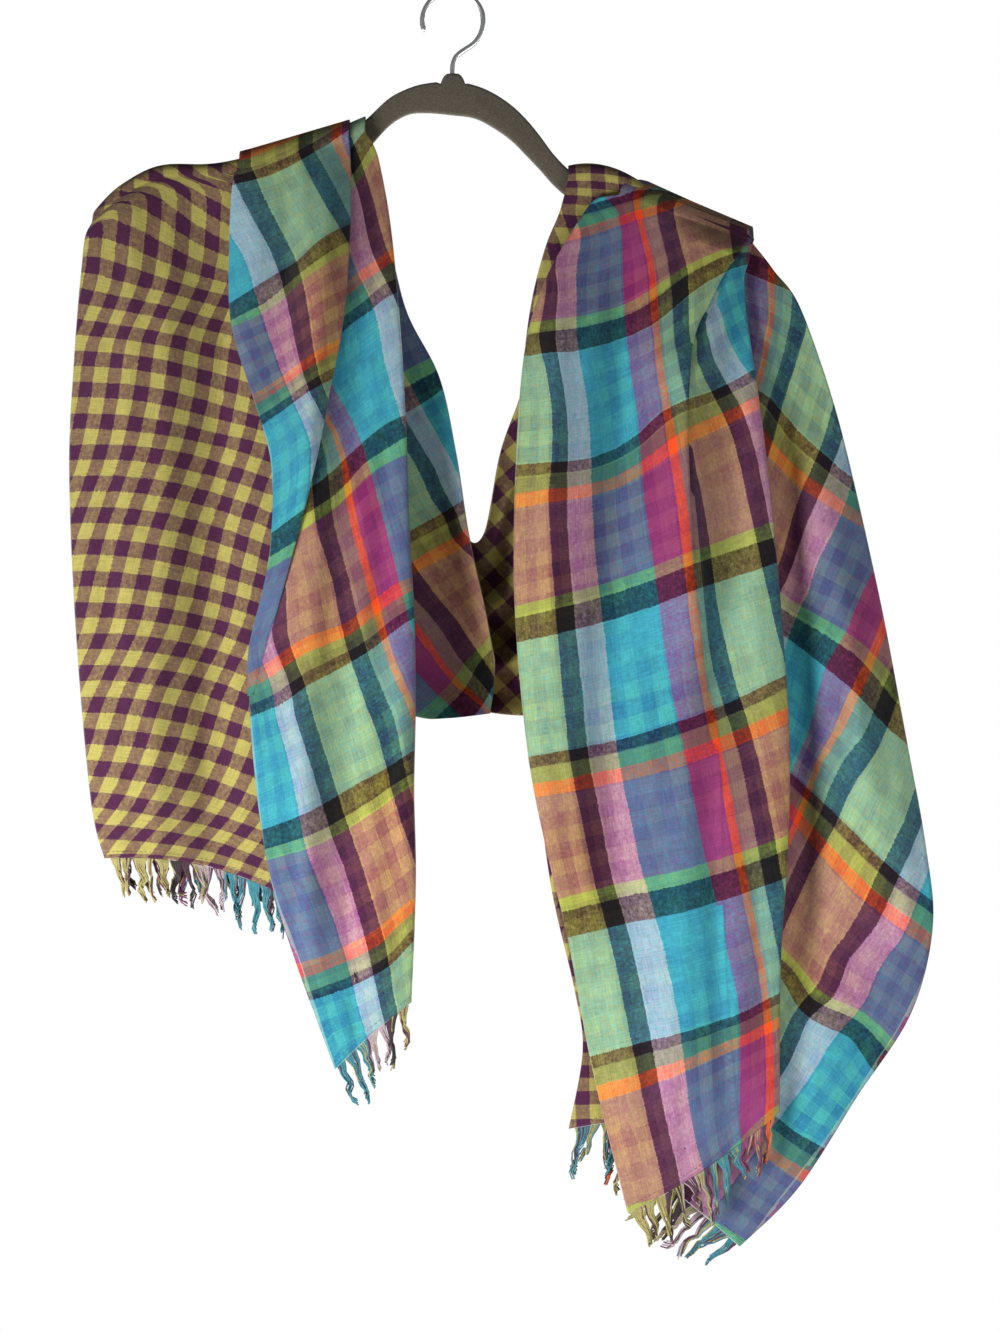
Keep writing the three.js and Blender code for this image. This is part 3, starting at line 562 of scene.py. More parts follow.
# ---------- material recipes ----------
class Recipe:
    """A material's nodes, with short words for adding and joining them."""

    def __init__(self, name):
        self.material = bpy.data.materials.new(name)
        self.material.use_nodes = True
        self.nodes, self.links = self.material.node_tree.nodes, self.material.node_tree.links
        self.shader = self.nodes["Principled BSDF"]

    def add(self, kind, settings=None, **inputs):
        node = self.nodes.new("ShaderNode" + kind)
        for name, value in (settings or {}).items():
            setattr(node, name, value)
        for name, value in inputs.items():
            socket = node.inputs[int(name[1:])] if name[1:].isdigit() else node.inputs[name]
            if hasattr(value, "links"):
                self.links.new(value, socket)
            else:
                socket.default_value = value
        return node

    def math(self, operation, *values):
        inputs = {f"_{index}": value for index, value in enumerate(values)}
        return self.add("Math", {"operation": operation}, **inputs).outputs[0]

    def blend(self, share, first, second, way="MIX"):
        settings = {"data_type": "RGBA", "blend_type": way, "clamp_factor": True}
        return self.add("Mix", settings, _0=share, _6=first, _7=second).outputs[2]

    def stripes(self, place, stops):
        """Colours in order, each from its own start (a share of the repeat) to the next."""
        ramp = self.add("ValToRGB", Fac=place)
        ramp.color_ramp.interpolation = "CONSTANT"
        elements = ramp.color_ramp.elements
        while len(elements) < len(stops):
            elements.new(1.0)
        for element, (start, colour) in zip(elements, stops):
            element.position = start
            element.color = dyed(colour)
        return ramp.outputs[0]

    def grain(self, vector, scale, detail=2.0, roughness=0.5):
        settings = {"noise_dimensions": "3D"}
        return self.add("TexNoise", settings, Vector=vector, Scale=scale, Detail=detail,
                        Roughness=roughness).outputs[0]

    def stretched(self, across, along, across_scale, along_scale):
        return self.add("CombineXYZ", X=self.math("MULTIPLY", across, across_scale),
                        Y=self.math("MULTIPLY", along, along_scale)).outputs[0]

    def finish(self, colour, height=None, lift=0.0003, **looks):
        self.links.new(colour, self.shader.inputs["Base Color"])
        for name, value in looks.items():
            self.shader.inputs[name.replace("_", " ")].default_value = value
        if height is not None:
            bump = self.add("Bump", Height=height, Distance=lift, Strength=1.0)
            self.links.new(bump.outputs[0], self.shader.inputs["Normal"])
        return self.material


def dyed(text):
    """A yarn's colour as written; yarns are mixed as the eye sees them, then made light."""
    return tuple(int(text[at:at + 2], 16) / 255 for at in (0, 2, 4)) + (1.0,)


# Starts are millimetres into the repeat.
WARP_REPEAT, WEFT_REPEAT = 163.8, 198.25
warp_yarns = [(0, "1B7F9D"), (38.4, "C0A5B9"), (58.5, "190E1B"), (72.8, "B6A75D"),
              (113.8, "0C0A16"), (126.8, "7E795A"), (139.1, "FF490E"), (145.0, "882268")]
weft_yarns = [(0, "8BB34A"), (5.2, "8D4473"), (73.5, "FF501C"), (82.6, "617E43"),
              (93.6, "05000B"), (101.4, "48B5C4"), (176.2, "000400"), (193.7, "8BB34A")]
CHECK_ACROSS, CHECK_ALONG = 18.6, 20.8
CHECK_YARNS = ("411536", "ABA050")


def repeating(recipe, place, repeat, yarns):
    """The yarns' colours, over and over, along a place in the cloth."""
    share = recipe.math("FRACT", recipe.math("DIVIDE", place, repeat * MM))
    return recipe.stripes(share, [(start / repeat, colour) for start, colour in yarns])


def halves(repeat):
    """The gingham's two yarns, half of its repeat each."""
    return list(zip((0, repeat / 2), CHECK_YARNS))


def cloth_threads(recipe):
    """Where a spot lies in the cloth, the threads' rise and fall, and their uneven spinning."""
    place = recipe.add("SeparateXYZ", Vector=recipe.add("UVMap", {"uv_map": "cloth"}).outputs[0])
    across, along = place.outputs[0], place.outputs[1]
    body = recipe.add("TexCoord").outputs["Object"]
    drift = recipe.math("SUBTRACT", recipe.grain(body, 90, 1), 0.5)
    warp_slub = recipe.grain(recipe.stretched(across, along, 900, 90), 1, 3, 0.65)
    weft_slub = recipe.grain(recipe.stretched(across, along, 90, 900), 1, 3, 0.65)

    def uneven(place, slub):
        ragged = recipe.math("MULTIPLY_ADD", recipe.math("SUBTRACT", slub, 0.5), 0.003, place)
        return recipe.math("MULTIPLY_ADD", drift, 0.0012, ragged)

    waves = [recipe.math("SINE", recipe.math("MULTIPLY", way, 2 * math.pi / (WEAVE_REPEAT * MM)))
             for way in (across, along)]
    weave = recipe.math("MULTIPLY", *waves)
    return {
        "across": uneven(across, weft_slub),
        "along": uneven(along, warp_slub),
        "edge_across": across,
        "weave": weave,
        "warp_slub": warp_slub,
        "weft_slub": weft_slub,
        "heather": recipe.grain(body, 420, 4, 0.75),
        "patches": recipe.grain(body, 16, 2, 0.5),
    }


def mixed_yarns(recipe, threads, warp, weft, warp_share):
    """Warp over weft: each thread's own lightness, then the mix that the eye sees."""
    def spun(colour, slub, depth):
        light = recipe.math("MULTIPLY_ADD", slub, depth, 1 - depth / 2)
        tint = recipe.add("CombineColor", Red=light, Green=light, Blue=light).outputs[0]
        return recipe.blend(1.0, colour, tint, "MULTIPLY")

    share = recipe.math("MULTIPLY_ADD", threads["weave"], 0.10, warp_share - 0.5)
    share = recipe.math("MULTIPLY_ADD", threads["heather"], 1.0, share)
    colour = recipe.blend(share, spun(weft, threads["weft_slub"], 0.75),
                          spun(warp, threads["warp_slub"], 0.75))
    # Where the heather is strong the colour is paled towards a light grey: partly bleached yarn,
    # partly painted light coming through the thin gauze.
    return recipe.blend(recipe.math("MULTIPLY", threads["heather"], 0.16), colour,
                        dyed("CFC8C0"))


def check_yarns(recipe, threads):
    """The gingham's warp and weft colours."""
    return [repeating(recipe, threads[way], size, halves(size))
            for way, size in (("across", CHECK_ACROSS), ("along", CHECK_ALONG))]


def as_light(recipe, colour):
    return recipe.add("Gamma", Color=colour, Gamma=2.2).outputs[0]


def cloth_height(recipe, threads):
    """The relief of the weave with its slubs, and the softness of washed cotton."""
    relief = recipe.math("MULTIPLY_ADD", threads["weave"], 0.25, threads["warp_slub"])
    relief = recipe.math("MULTIPLY_ADD", threads["weft_slub"], 0.8, relief)
    crumple = recipe.grain(recipe.add("TexCoord").outputs["Object"], 42, 3, 0.55)
    return recipe.math("MULTIPLY_ADD", crumple, 4.0, relief)


def plaid_face():
    recipe = Recipe("plaid_face")
    threads = cloth_threads(recipe)
    warp = repeating(recipe, threads["across"], WARP_REPEAT, warp_yarns)
    weft = repeating(recipe, threads["along"], WEFT_REPEAT, weft_yarns)
    colour = mixed_yarns(recipe, threads, warp, weft, 0.54)
    check = recipe.blend(0.5, *check_yarns(recipe, threads))
    showing = recipe.math("MULTIPLY_ADD", threads["patches"], 1.5, -0.38)
    colour = recipe.blend(showing, colour, check, "SOFT_LIGHT")
    half = CLOTH_WIDTH / 2
    middle = recipe.math("SUBTRACT", threads["edge_across"], half * MM)
    edge = recipe.math("COMPARE", recipe.math("ABSOLUTE", middle), (half - SELVEDGE_LINE) * MM,
                       0.0006)
    colour = recipe.blend(recipe.math("MULTIPLY", edge, 0.35), colour, dyed("D8D2A8"))
    return recipe.finish(as_light(recipe, colour), cloth_height(recipe, threads),
                         Roughness=0.88, Sheen_Weight=0.12, Sheen_Roughness=0.45,
                         Specular_IOR_Level=0.22)


def gingham_face():
    recipe = Recipe("gingham_face")
    threads = cloth_threads(recipe)
    warp, weft = check_yarns(recipe, threads)
    colour = mixed_yarns(recipe, threads, warp, weft, 0.5)
    return recipe.finish(as_light(recipe, colour), cloth_height(recipe, threads),
                         Roughness=0.88, Sheen_Weight=0.12, Sheen_Roughness=0.45,
                         Specular_IOR_Level=0.22)


def selvedge_edge():
    """The cloth seen edge on: both layers' yarns together."""
    recipe = Recipe("selvedge_edge")
    body = recipe.add("TexCoord").outputs["Object"]
    colour = recipe.blend(recipe.grain(body, 260, 3, 0.7), dyed("4A3A48"), dyed("B9AE78"))
    return recipe.finish(as_light(recipe, colour), recipe.grain(body, 900, 2),
                         Roughness=0.9, Sheen_Weight=0.1, Specular_IOR_Level=0.2)


def fringe_yarn():
    recipe = Recipe("fringe_yarn")
    across = recipe.add("Attribute", {"attribute_name": "across"}).outputs["Fac"]
    face = recipe.add("Attribute", {"attribute_name": "backing"}).outputs["Fac"]
    colour = recipe.blend(face, repeating(recipe, across, WARP_REPEAT, warp_yarns),
                          repeating(recipe, across, CHECK_ACROSS, halves(CHECK_ACROSS)))
    body = recipe.add("TexCoord").outputs["Object"]
    light = recipe.blend(recipe.grain(body, 240, 3, 0.6), dyed("9A9A9A"), dyed("FFFFFF"))
    colour = recipe.blend(1.0, colour, light, "MULTIPLY")
    colour = recipe.blend(0.22, colour, dyed("E2DCC0"))
    return recipe.finish(as_light(recipe, colour), recipe.grain(body, 2600, 2),
                         Roughness=0.85, Sheen_Weight=0.2, Sheen_Roughness=0.4,
                         Specular_IOR_Level=0.25)


def stitch_thread():
    recipe = Recipe("stitch_thread")
    body = recipe.add("TexCoord").outputs["Object"]
    colour = recipe.blend(recipe.grain(body, 700, 2), dyed("2C2630"), dyed("5A5360"))
    return recipe.finish(as_light(recipe, colour), recipe.grain(body, 2600, 2), Roughness=0.7)


def flocked_body():
    """Short upright fibres: a speckled nap that is lighter at a glancing look."""
    recipe = Recipe("hanger_flock")
    body = recipe.add("TexCoord").outputs["Object"]
    speckle = recipe.grain(body, 900, 5, 0.75)
    colour = recipe.blend(speckle, dyed("2E2A23"), dyed("7C7364"))
    worn = recipe.grain(body, 30, 3)
    colour = recipe.blend(recipe.math("MULTIPLY", worn, 0.3), colour, dyed("6E6658"))
    return recipe.finish(as_light(recipe, colour), recipe.grain(body, 1500, 4, 0.8), 0.0004,
                         Roughness=1.0, Sheen_Weight=0.5, Sheen_Roughness=0.5,
                         Specular_IOR_Level=0.1)


def bright_wire():
    recipe = Recipe("hook_wire")
    body = recipe.add("TexCoord").outputs["Object"]
    drawn = recipe.grain(body, 300, 3)
    colour = recipe.blend(drawn, dyed("DCDEE0"), dyed("F4F5F6"))
    rough = recipe.math("MULTIPLY_ADD", drawn, 0.12, 0.34)
    recipe.links.new(rough, recipe.shader.inputs["Roughness"])
    return recipe.finish(as_light(recipe, colour), Metallic=1.0)


def pale_floor():
    recipe = Recipe("pale_floor")
    body = recipe.add("TexCoord").outputs["Object"]
    colour = recipe.blend(recipe.grain(body, 3, 3), dyed("F2F1EE"), dyed("F7F6F4"))
    recipe.links.new(colour, recipe.shader.inputs["Emission Color"])
    return recipe.finish(as_light(recipe, colour), Roughness=0.9, Specular_IOR_Level=0.1,
                         Emission_Strength=0.32)


plaid = plaid_face()
gingham = gingham_face()
selvedge = selvedge_edge()
yarn = fringe_yarn()
thread = stitch_thread()


# ---------- what repeats: fringe threads and stitches ----------
class Tree:
    """A Geometry Nodes tree with named inputs."""

    def __init__(self, name, sizes):
        self.tree = bpy.data.node_groups.new(name, "GeometryNodeTree")
        interface = self.tree.interface
        interface.new_socket("Geometry", in_out="INPUT", socket_type="NodeSocketGeometry")
        for label, kind in sizes.items():
            interface.new_socket(label, in_out="INPUT", socket_type="NodeSocket" + kind)
        interface.new_socket("Geometry", in_out="OUTPUT", socket_type="NodeSocketGeometry")
        self.given = self.tree.nodes.new("NodeGroupInput").outputs
        self.result = self.tree.nodes.new("NodeGroupOutput").inputs

    def add(self, kind, settings=None, **inputs):
        node = self.tree.nodes.new(kind)
        for name, value in (settings or {}).items():
            setattr(node, name, value)
        for name, value in inputs.items():
            label = name.replace("_", " ")
            socket = node.inputs[int(name[1:])] if name[1:].isdigit() else node.inputs[label]
            if hasattr(value, "links"):
                self.tree.links.new(value, socket)
            else:
                socket.default_value = value
        return node.outputs

    def math(self, operation, *values):
        inputs = {f"_{index}": value for index, value in enumerate(values)}
        return self.add("ShaderNodeMath", {"operation": operation}, **inputs)[0]

    def vector(self, operation, first, second=None, scale=None):
        inputs = {"_0": first}
        if second is not None:
            inputs["_1"] = second
        if scale is not None:
            inputs["Scale"] = scale
        return self.add("ShaderNodeVectorMath", {"operation": operation}, **inputs)[0]

    def named(self, name, kind="FLOAT_VECTOR"):
        return self.add("GeometryNodeInputNamedAttribute", {"data_type": kind}, Name=name)[0]

    def end(self, geometry):
        plain = self.add("GeometryNodeRealizeInstances", Geometry=geometry)[0]
        done = self.add("GeometryNodeSetMaterial", Geometry=plain, Material=self.given["Material"])
        self.tree.links.new(done[0], self.result[0])
        return self.tree


def threads_tree():
    tree = Tree("fringe_threads", {"Thickness": "Float", "Lock Wave": "Float",
                                   "Thread Wave": "Float", "Seed": "Float",
                                   "Material": "Material"})
    roots = tree.add("GeometryNodeMeshToPoints", Mesh=tree.given["Geometry"])[0]
    line = tree.add("GeometryNodeCurvePrimitiveLine", End=(0, 0, -0.01))[0]
    line = tree.add("GeometryNodeResampleCurve", Curve=line, Count=9)[0]
    hung = tree.add("GeometryNodeInstanceOnPoints", Points=roots, Instance=line)[0]
    hung = tree.add("GeometryNodeRealizeInstances", Geometry=hung)[0]
    run = tree.add("GeometryNodeSplineParameter")[0]
    root = tree.named("root")
    down = tree.add("ShaderNodeCombineXYZ", X=tree.given["Seed"],
                    Z=tree.math("MULTIPLY", run, 0.02))[0]

    def wave(origin, size):
        seeded = tree.vector("ADD", origin, down)
        noise = tree.add("ShaderNodeTexNoise", {"noise_dimensions": "3D"}, Vector=seeded,
                         Scale=120.0, Detail=1.0)[1]
        swing = tree.vector("SUBTRACT", noise, (0.5, 0.5, 0.5))
        return tree.vector("SCALE", swing, scale=tree.math("MULTIPLY", run, size))

    lock = tree.vector("SCALE", tree.named("lock"), scale=40.0)
    waves = tree.vector("ADD", wave(lock, tree.given["Lock Wave"]),
                        wave(tree.vector("SCALE", root, scale=30.0), tree.given["Thread Wave"]))
    lean = tree.vector("SCALE", tree.named("lean"), scale=tree.math("POWER", run, 0.75))
    hang = tree.vector("SCALE", tree.named("hang"), scale=run)
    spot = tree.vector("ADD", tree.vector("ADD", root, hang), tree.vector("ADD", lean, waves))
    hung = tree.add("GeometryNodeSetPosition", Geometry=hung, Position=spot)[0]
    thin = tree.math("MULTIPLY_ADD", run, -0.45, 1.0)
    hung = tree.add("GeometryNodeSetCurveRadius", Curve=hung, Radius=thin)[0]
    ring = tree.add("GeometryNodeCurvePrimitiveCircle", Resolution=5,
                    Radius=tree.given["Thickness"])[0]
    solid = tree.add("GeometryNodeCurveToMesh", Curve=hung, Profile_Curve=ring, Fill_Caps=True)
    solid = tree.add("GeometryNodeSetShadeSmooth", Geometry=solid[0])[0]
    return tree.end(solid)


def stitches_tree():
    tree = Tree("stitch_line", {"Length": "Float", "Thickness": "Float", "Material": "Material"})
    roots = tree.add("GeometryNodeMeshToPoints", Mesh=tree.given["Geometry"])[0]
    bead = tree.add("GeometryNodeMeshUVSphere", Segments=6, Rings=4, Radius=0.5)[0]
    size = tree.add("ShaderNodeCombineXYZ", X=tree.given["Length"], Y=tree.given["Thickness"],
                    Z=tree.given["Thickness"])[0]
    way = tree.add("FunctionNodeAlignRotationToVector", {"axis": "X"}, Vector=tree.named("way"))[0]
    laid = tree.add("GeometryNodeInstanceOnPoints", Points=roots, Instance=bead, Rotation=way,
                    Scale=size)[0]
    return tree.end(laid)


def grow(name, tree, roots, marks, **sizes):
    """Runs a tree over root points with named marks, and keeps its result as a plain mesh."""
    mesh = bpy.data.meshes.new(name)
    mesh.from_pydata((np.asarray(roots) * MM).tolist(), [], [])
    for label, values in marks.items():
        values = np.asarray(values, dtype=float)
        kind = "FLOAT_VECTOR" if values.ndim == 2 else "FLOAT"
        layer = mesh.attributes.new(label, kind, "POINT")
        layer.data.foreach_set("vector" if values.ndim == 2 else "value", values.ravel() * MM)
    piece = new_piece(name, mesh, smooth=False)
    modifier = piece.modifiers.new("grow", "NODES")
    modifier.node_group = tree
    for item in tree.interface.items_tree:
        label = item.name.replace(" ", "_")
        if item.in_out == "INPUT" and label in sizes:
            modifier[item.identifier] = sizes[label]
    grown = bpy.data.meshes.new_from_object(
        piece.evaluated_get(bpy.context.evaluated_depsgraph_get()))
    piece.modifiers.clear()
    piece.data = grown
    return piece


threads = threads_tree()
stitches = stitches_tree()


def hem_frame(layer, share, rise=0.0):
    """A spot on a cut edge, or rise above it, with the ways down, along and out of the cloth."""
    place = layer.last * np.ones_like(share)
    spot = layer.hanging(share, place)
    above = layer.hanging(share, place - 0.06)
    down = spot - above
    down /= np.linalg.norm(down, axis=-1, keepdims=True)
    beside = layer.hanging(share + 0.004, place) - layer.hanging(share - 0.004, place)
    beside /= np.linalg.norm(beside, axis=-1, keepdims=True)
    out = np.cross(down, beside)
    return spot - down * rise, down, beside, out


def fringe(name, layer, cloth_row, shares, first, last, seed, gingham_share, outward):
    """Uneven locks of a few warp ends each, out of the cut edge of one stretch."""
    random = np.random.default_rng(seed)
    width = np.linalg.norm(layer.edge("left", layer.last) - layer.edge("right", layer.last))
    width *= last - first
    lock_count = max(int(width / LOCK_SPACING), 3)
    cuts = np.linspace(first, last, lock_count + 1)
    cuts[1:-1] += random.uniform(-0.3, 0.3, lock_count - 1) * (last - first) / lock_count
    share, reach, pull, side_way, out_way, centre, backing = [], [], [], [], [], [], []
    for start, end in zip(cuts[:-1], cuts[1:]):
        ends = max(int((end - start) / (last - first) * width / YARN_SPACING), 4)
        own = np.linspace(start, end, ends, endpoint=False) + (end - start) / ends / 2
        own_reach = random.uniform(*LOCK_LENGTH)
        share.extend(own)
        centre.extend([(start + end) / 2] * ends)
        reach.extend(own_reach * random.uniform(0.78, 1.05, ends))
        pull.extend(((start + end) / 2 - own) * random.uniform(0.85, 0.98))
        side_way.extend([random.uniform(-5, 5)] * ends + random.uniform(-0.5, 0.5, ends))
        out_way.extend([random.uniform(-1.0, outward)] * ends + random.uniform(-0.6, 0.6, ends))
        backing.extend((random.uniform(0, 1, ends) < gingham_share) * 1.0)
    share, reach, pull = np.array(share), np.array(reach), np.array(pull)
    spot, down, beside, out = hem_frame(layer, share, -0.3)
    lock = hem_frame(layer, np.array(centre))[0]
    sway = pull / (last - first) * width + np.array(side_way)
    lean = beside * sway[:, None] + out * np.array(out_way)[:, None]
    across = np.interp(share, shares, cloth_row[:, 0])
    marks = {"root": spot, "lock": lock, "hang": down * reach[:, None], "lean": lean,
             "across": across, "backing": np.array(backing) / MM}
    piece = grow(name, threads, spot, marks, Thickness=0.00050, Lock_Wave=0.020, Thread_Wave=0.005,
                 Seed=seed * 1.37, Material=yarn)
    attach(piece, "root")
    return piece


def stitch_line(name, layer, first, last):
    width = np.linalg.norm(layer.edge("left", layer.last) - layer.edge("right", layer.last))
    count = max(int(width * (last - first) / STITCH_SPACING), 4)
    share = np.linspace(first, last, count)
    spots, ways = [], []
    for sign in (1, -1):
        spot, _, beside, out = hem_frame(layer, share, STITCH_HEIGHT)
        spots.append(spot + out * sign * (CLOTH_THICKNESS / 2 + 0.02))
        ways.append(beside)
    piece = grow(name, stitches, np.concatenate(spots), {"way": np.concatenate(ways) / MM},
                 Length=0.0023, Thickness=0.00038, Material=thread)
    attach(piece, "root")
    return piece


# ---------- the scarf ----------
# How much cloth there is for each millimetre run: small waves take some up.
GINGHAM_RUN, GINGHAM_DROP, INNER_RUN = 0.98, 1.02, 0.93
GINGHAM_HEM = -561
CHECK_BOW = 17

left_inner = Layer(left_inner_rows, 0, left_stack_folds, turn_left=-1)
left_gingham = Layer(left_gingham_rows, 1, left_stack_folds, left_gingham_folds, 1, -1)
left_plaid = Layer(left_plaid_rows, 2, left_stack_folds, left_plaid_folds, turn_right=1)
left_flap = Layer(left_flap_rows, 3, left_stack_folds, left_flap_folds, turn_right=1)
right_inner = Layer(right_inner_rows, 1, right_stack_folds, turn_right=-1)
right_front = Layer(right_front_rows, 2, right_stack_folds, right_front_folds, turn_right=1,
                    slant_left=14)
right_back = Layer(right_back_rows, 0, right_stack_folds, right_back_folds)


def from_left_end(cloth):
    """Turns lengths from the left-hand cut end into lengths from the right-hand one."""
    cloth = cloth.copy()
    cloth[..., 1] = CLOTH_LENGTH - cloth[..., 1]
    return cloth


def left_flap_fold():
    """The turquoise selvedge's strip, folded forward over the panel below it."""
    places = even_places(left_flap, 2.5)
    points = spread_layer(left_flap, edge_shares(34, False, True), places)
    settling = ease(-360, -448, points[len(OVER_ARM_TURNS):, :, 2])
    points[len(OVER_ARM_TURNS):, :, 1] += (STEP_BELOW - 1.1) * settling
    cloth = chart(
        points,
        smooth_through(on_edge(left_flap, "left", left_flap_across_left)
                       + on_edge(left_flap, "right", left_flap_across_right)
                       + left_flap_across_inside),
        smooth_through(on_edge(left_flap, "left", left_flap_along_left)
                       + left_flap_along_inside))
    return points, cloth


def left_end_wrap():
    """The left end as one cloth: plaid front, round the neck fold, gingham, round the
    outline's fold, and back behind."""
    places = even_places(left_plaid, 2.7)
    shares = edge_shares(34, False, True)
    front = spread_layer(left_plaid, shares, places)
    front_cloth = chart(
        front,
        smooth_through(on_edge(left_plaid, "right", left_plaid_across_right)
                       + left_plaid_across_inside),
        smooth_through(on_edge(left_plaid, "right", left_plaid_along_right)
                       + on_edge(left_plaid, "left", left_plaid_along_left)
                       + left_plaid_along_inside))
    middle_places = left_gingham.place_beside("right", left_plaid, places)
    middle_shares = edge_shares(72)
    middle = spread_layer(left_gingham, middle_shares, middle_places)
    width = middle[:, -1, 0] - middle[:, 0, 0]
    middle_cloth = np.zeros(middle.shape[:2] + (2,))
    away = (1 - middle_shares)[None] * width[:, None] * GINGHAM_RUN
    middle_cloth[..., 0] = front_cloth[:, -1:, 0] + away
    low_edge = (middle[:, 0, 2] - GINGHAM_HEM) * GINGHAM_DROP
    middle_cloth[..., 1] = mix(low_edge[:, None], front_cloth[:, -1:, 1], middle_shares[None])
    bow = CHECK_BOW * ease(0, 120, low_edge) * (1 - ease(300, 400, low_edge))
    middle_cloth[..., 1] -= bow[:, None] * (4 * middle_shares * (1 - middle_shares))[None]
    carry_over_arm(middle, middle_cloth)
    inner_places = left_inner.place_beside("left", left_gingham, middle_places)
    inner = spread_layer(left_inner, edge_shares(50, True, False), inner_places)
    inner_cloth = run_on(inner, middle_cloth[:, 0], "left", INNER_RUN)
    carry_over_arm(inner, inner_cloth)
    points = np.concatenate([front, middle[:, -2::-1], inner[:, 1:]], axis=1)
    cloth = np.concatenate([front_cloth, middle_cloth[:, -2::-1], inner_cloth[:, 1:]], axis=1)
    flap, flap_cloth = left_flap_fold()
    stretches = [(points, from_left_end(cloth)), (flap, from_left_end(flap_cloth))]
    piece = cloth_piece("left_wrap", stretches, plaid, gingham)
    hems = {"plaid": (left_plaid, front_cloth[-1], shares),
            "gingham": (left_gingham, middle_cloth[-1], middle_shares),
            "inner": (left_inner, inner_cloth[-1], edge_shares(50, True, False))}
    return piece, flat_size([flap_cloth, front_cloth, middle_cloth, inner_cloth]), hems


def pleated(places):
    """Shares across the right front, with its knife pleat, and how far each stands back."""
    pleat = section_at(pleat_rows, places)
    section = section_at(right_front.rows, places)
    width = (section["right_x"] - section["left_x"])[:, None]
    line, tuck = pleat["share"][:, None], np.maximum(pleat["tuck"], 0)[:, None]
    folded = np.clip(tuck / 5, 0, 1)
    under = [0, 0, 0, 0.35, 0.7, 1, 1, 1, 0.7, 0.35, 0]
    nose = [0, 0.8, 0, 0, 0, 0, -0.8, 0, 0, 0, 0]
    back = [0, 0.75, 1.5, 1.5, 1.5, 1.6, 2.25, 2.9, 3.0, 3.0, 3.0]
    drift = 0.4 * np.arange(len(under))
    pleat_shares = line + (folded * np.array(nose) - tuck * np.array(under) + drift) / width
    outer = edge_shares(44, False, False)[None, :-1] * line
    rest = edge_shares(22, False, True)[None, 1:]
    last_line = pleat_shares[:, -1:]
    inner = last_line + (1 - last_line) * rest
    set_back = PLEAT_SET_BACK * folded * (1 - ease(0, 9, (inner - last_line) * width))
    shares = np.concatenate([outer, pleat_shares, inner], axis=1)
    behind = np.concatenate([0 * outer, folded * np.array(back), set_back], axis=1)
    passed = np.cumsum(np.abs(np.diff(under, prepend=0)))
    return shares, behind, outer.shape[1], passed / passed[-1]


def spread_marks(rows):
    """Marks across each row to the nearest millimetre, their places a little off even."""
    marks = []
    for height, left_x, right_x, right_place in rows:
        for share in (0.25, 0.5, 0.75, 1):
            crowded = share + 0.15 * math.sin(2 * math.pi * share) / (2 * math.pi)
            place = mix(GREEN_SELVEDGE, right_place, crowded)
            marks.append((round(mix(left_x, right_x, share)), height, round(place)))
    return marks


def right_end_wrap():
    """The right end as one cloth: plaid front with its pleat, round the right fold, and back."""
    places = even_places(right_front, 2.7)
    shares, behind, pleat_start, passed = pleated(places)
    front = spread_layer(right_front, shares, places)
    over = len(OVER_ARM_TURNS)
    front[over:, :, 1] += behind * ease(0, 1.2, places)[:, None]
    below = spread_marks(right_front_spread) + right_front_across_hem
    left_edge = on_edge(right_front, "left", right_front_across_left)
    outside = smooth_through(left_edge + right_front_across_outside_pleat + below)
    inside = smooth_through(right_front_across_inside_pleat + below)
    along = smooth_through(on_edge(right_front, "left", right_front_along_left)
                           + on_edge(right_front, "right", right_front_along_right)
                           + right_front_along_inside)
    cloth = chart(front, outside, along)
    x, z = front[over:, :, 0], front[over:, :, 2]
    pleat_end = pleat_start + len(passed)
    line_x, line_z = x[:, pleat_start:pleat_start + 1], z[:, pleat_start:pleat_start + 1]
    before, after = outside(line_x, line_z), inside(line_x, line_z)
    tucked = before - after
    cloth[over:, pleat_start:pleat_end, 0] = before - tucked * passed
    cloth[over:, pleat_end:, 0] = inside(x[:, pleat_end:], z[:, pleat_end:])
    carry_over_arm(front, cloth)
    back_places = right_inner.place_beside("right", right_front, places)
    back = spread_layer(right_inner, edge_shares(60, False, True), back_places)
    back_cloth = run_on(back, cloth[:, -1], "right", -1)
    points = np.concatenate([front, back[:, -2::-1]], axis=1)
    whole = np.concatenate([cloth, back_cloth[:, -2::-1]], axis=1)
    piece = cloth_piece("right_wrap", [(points, whole)], plaid, gingham)
    hems = {"front": (right_front, cloth[-1], shares[-1]),
            "inner": (right_inner, back_cloth[-1], edge_shares(60, False, True))}
    return piece, flat_size([cloth, back_cloth]), hems


def right_back_fall():
    shares = edge_shares(64, False, False)
    points = spread_layer(right_back, shares, even_places(right_back, 2.8))
    cloth = chart(points, smooth_through(right_back_across), smooth_through(right_back_along))
    piece = cloth_piece("right_back_fall", [(points, cloth)], plaid, gingham)
    return piece, flat_size([cloth]), {"back": (right_back, cloth[-1], shares)}


def drape_points(rows, gathers, across, along):
    """A stretch behind the arms, across from its low edge to its neck edge."""
    share, run = np.linspace(0, 1, across + 1)[None], np.linspace(0, 1, along + 1)[:, None]
    section = section_at(rows, run * (len(rows["lift"]) - 1))
    hump = 4 * share * (1 - share)
    x = mix(section["low_x"], section["neck_x"], share) + section["side"] * hump
    z = mix(section["low_z"], section["neck_z"], share) + section["lift"] * hump
    y = mix(section["low_y"], section["neck_y"], share) + section["bow"] * hump
    y = y + gather_depth(gathers, share, run)
    return np.stack([x, y, z], axis=-1)


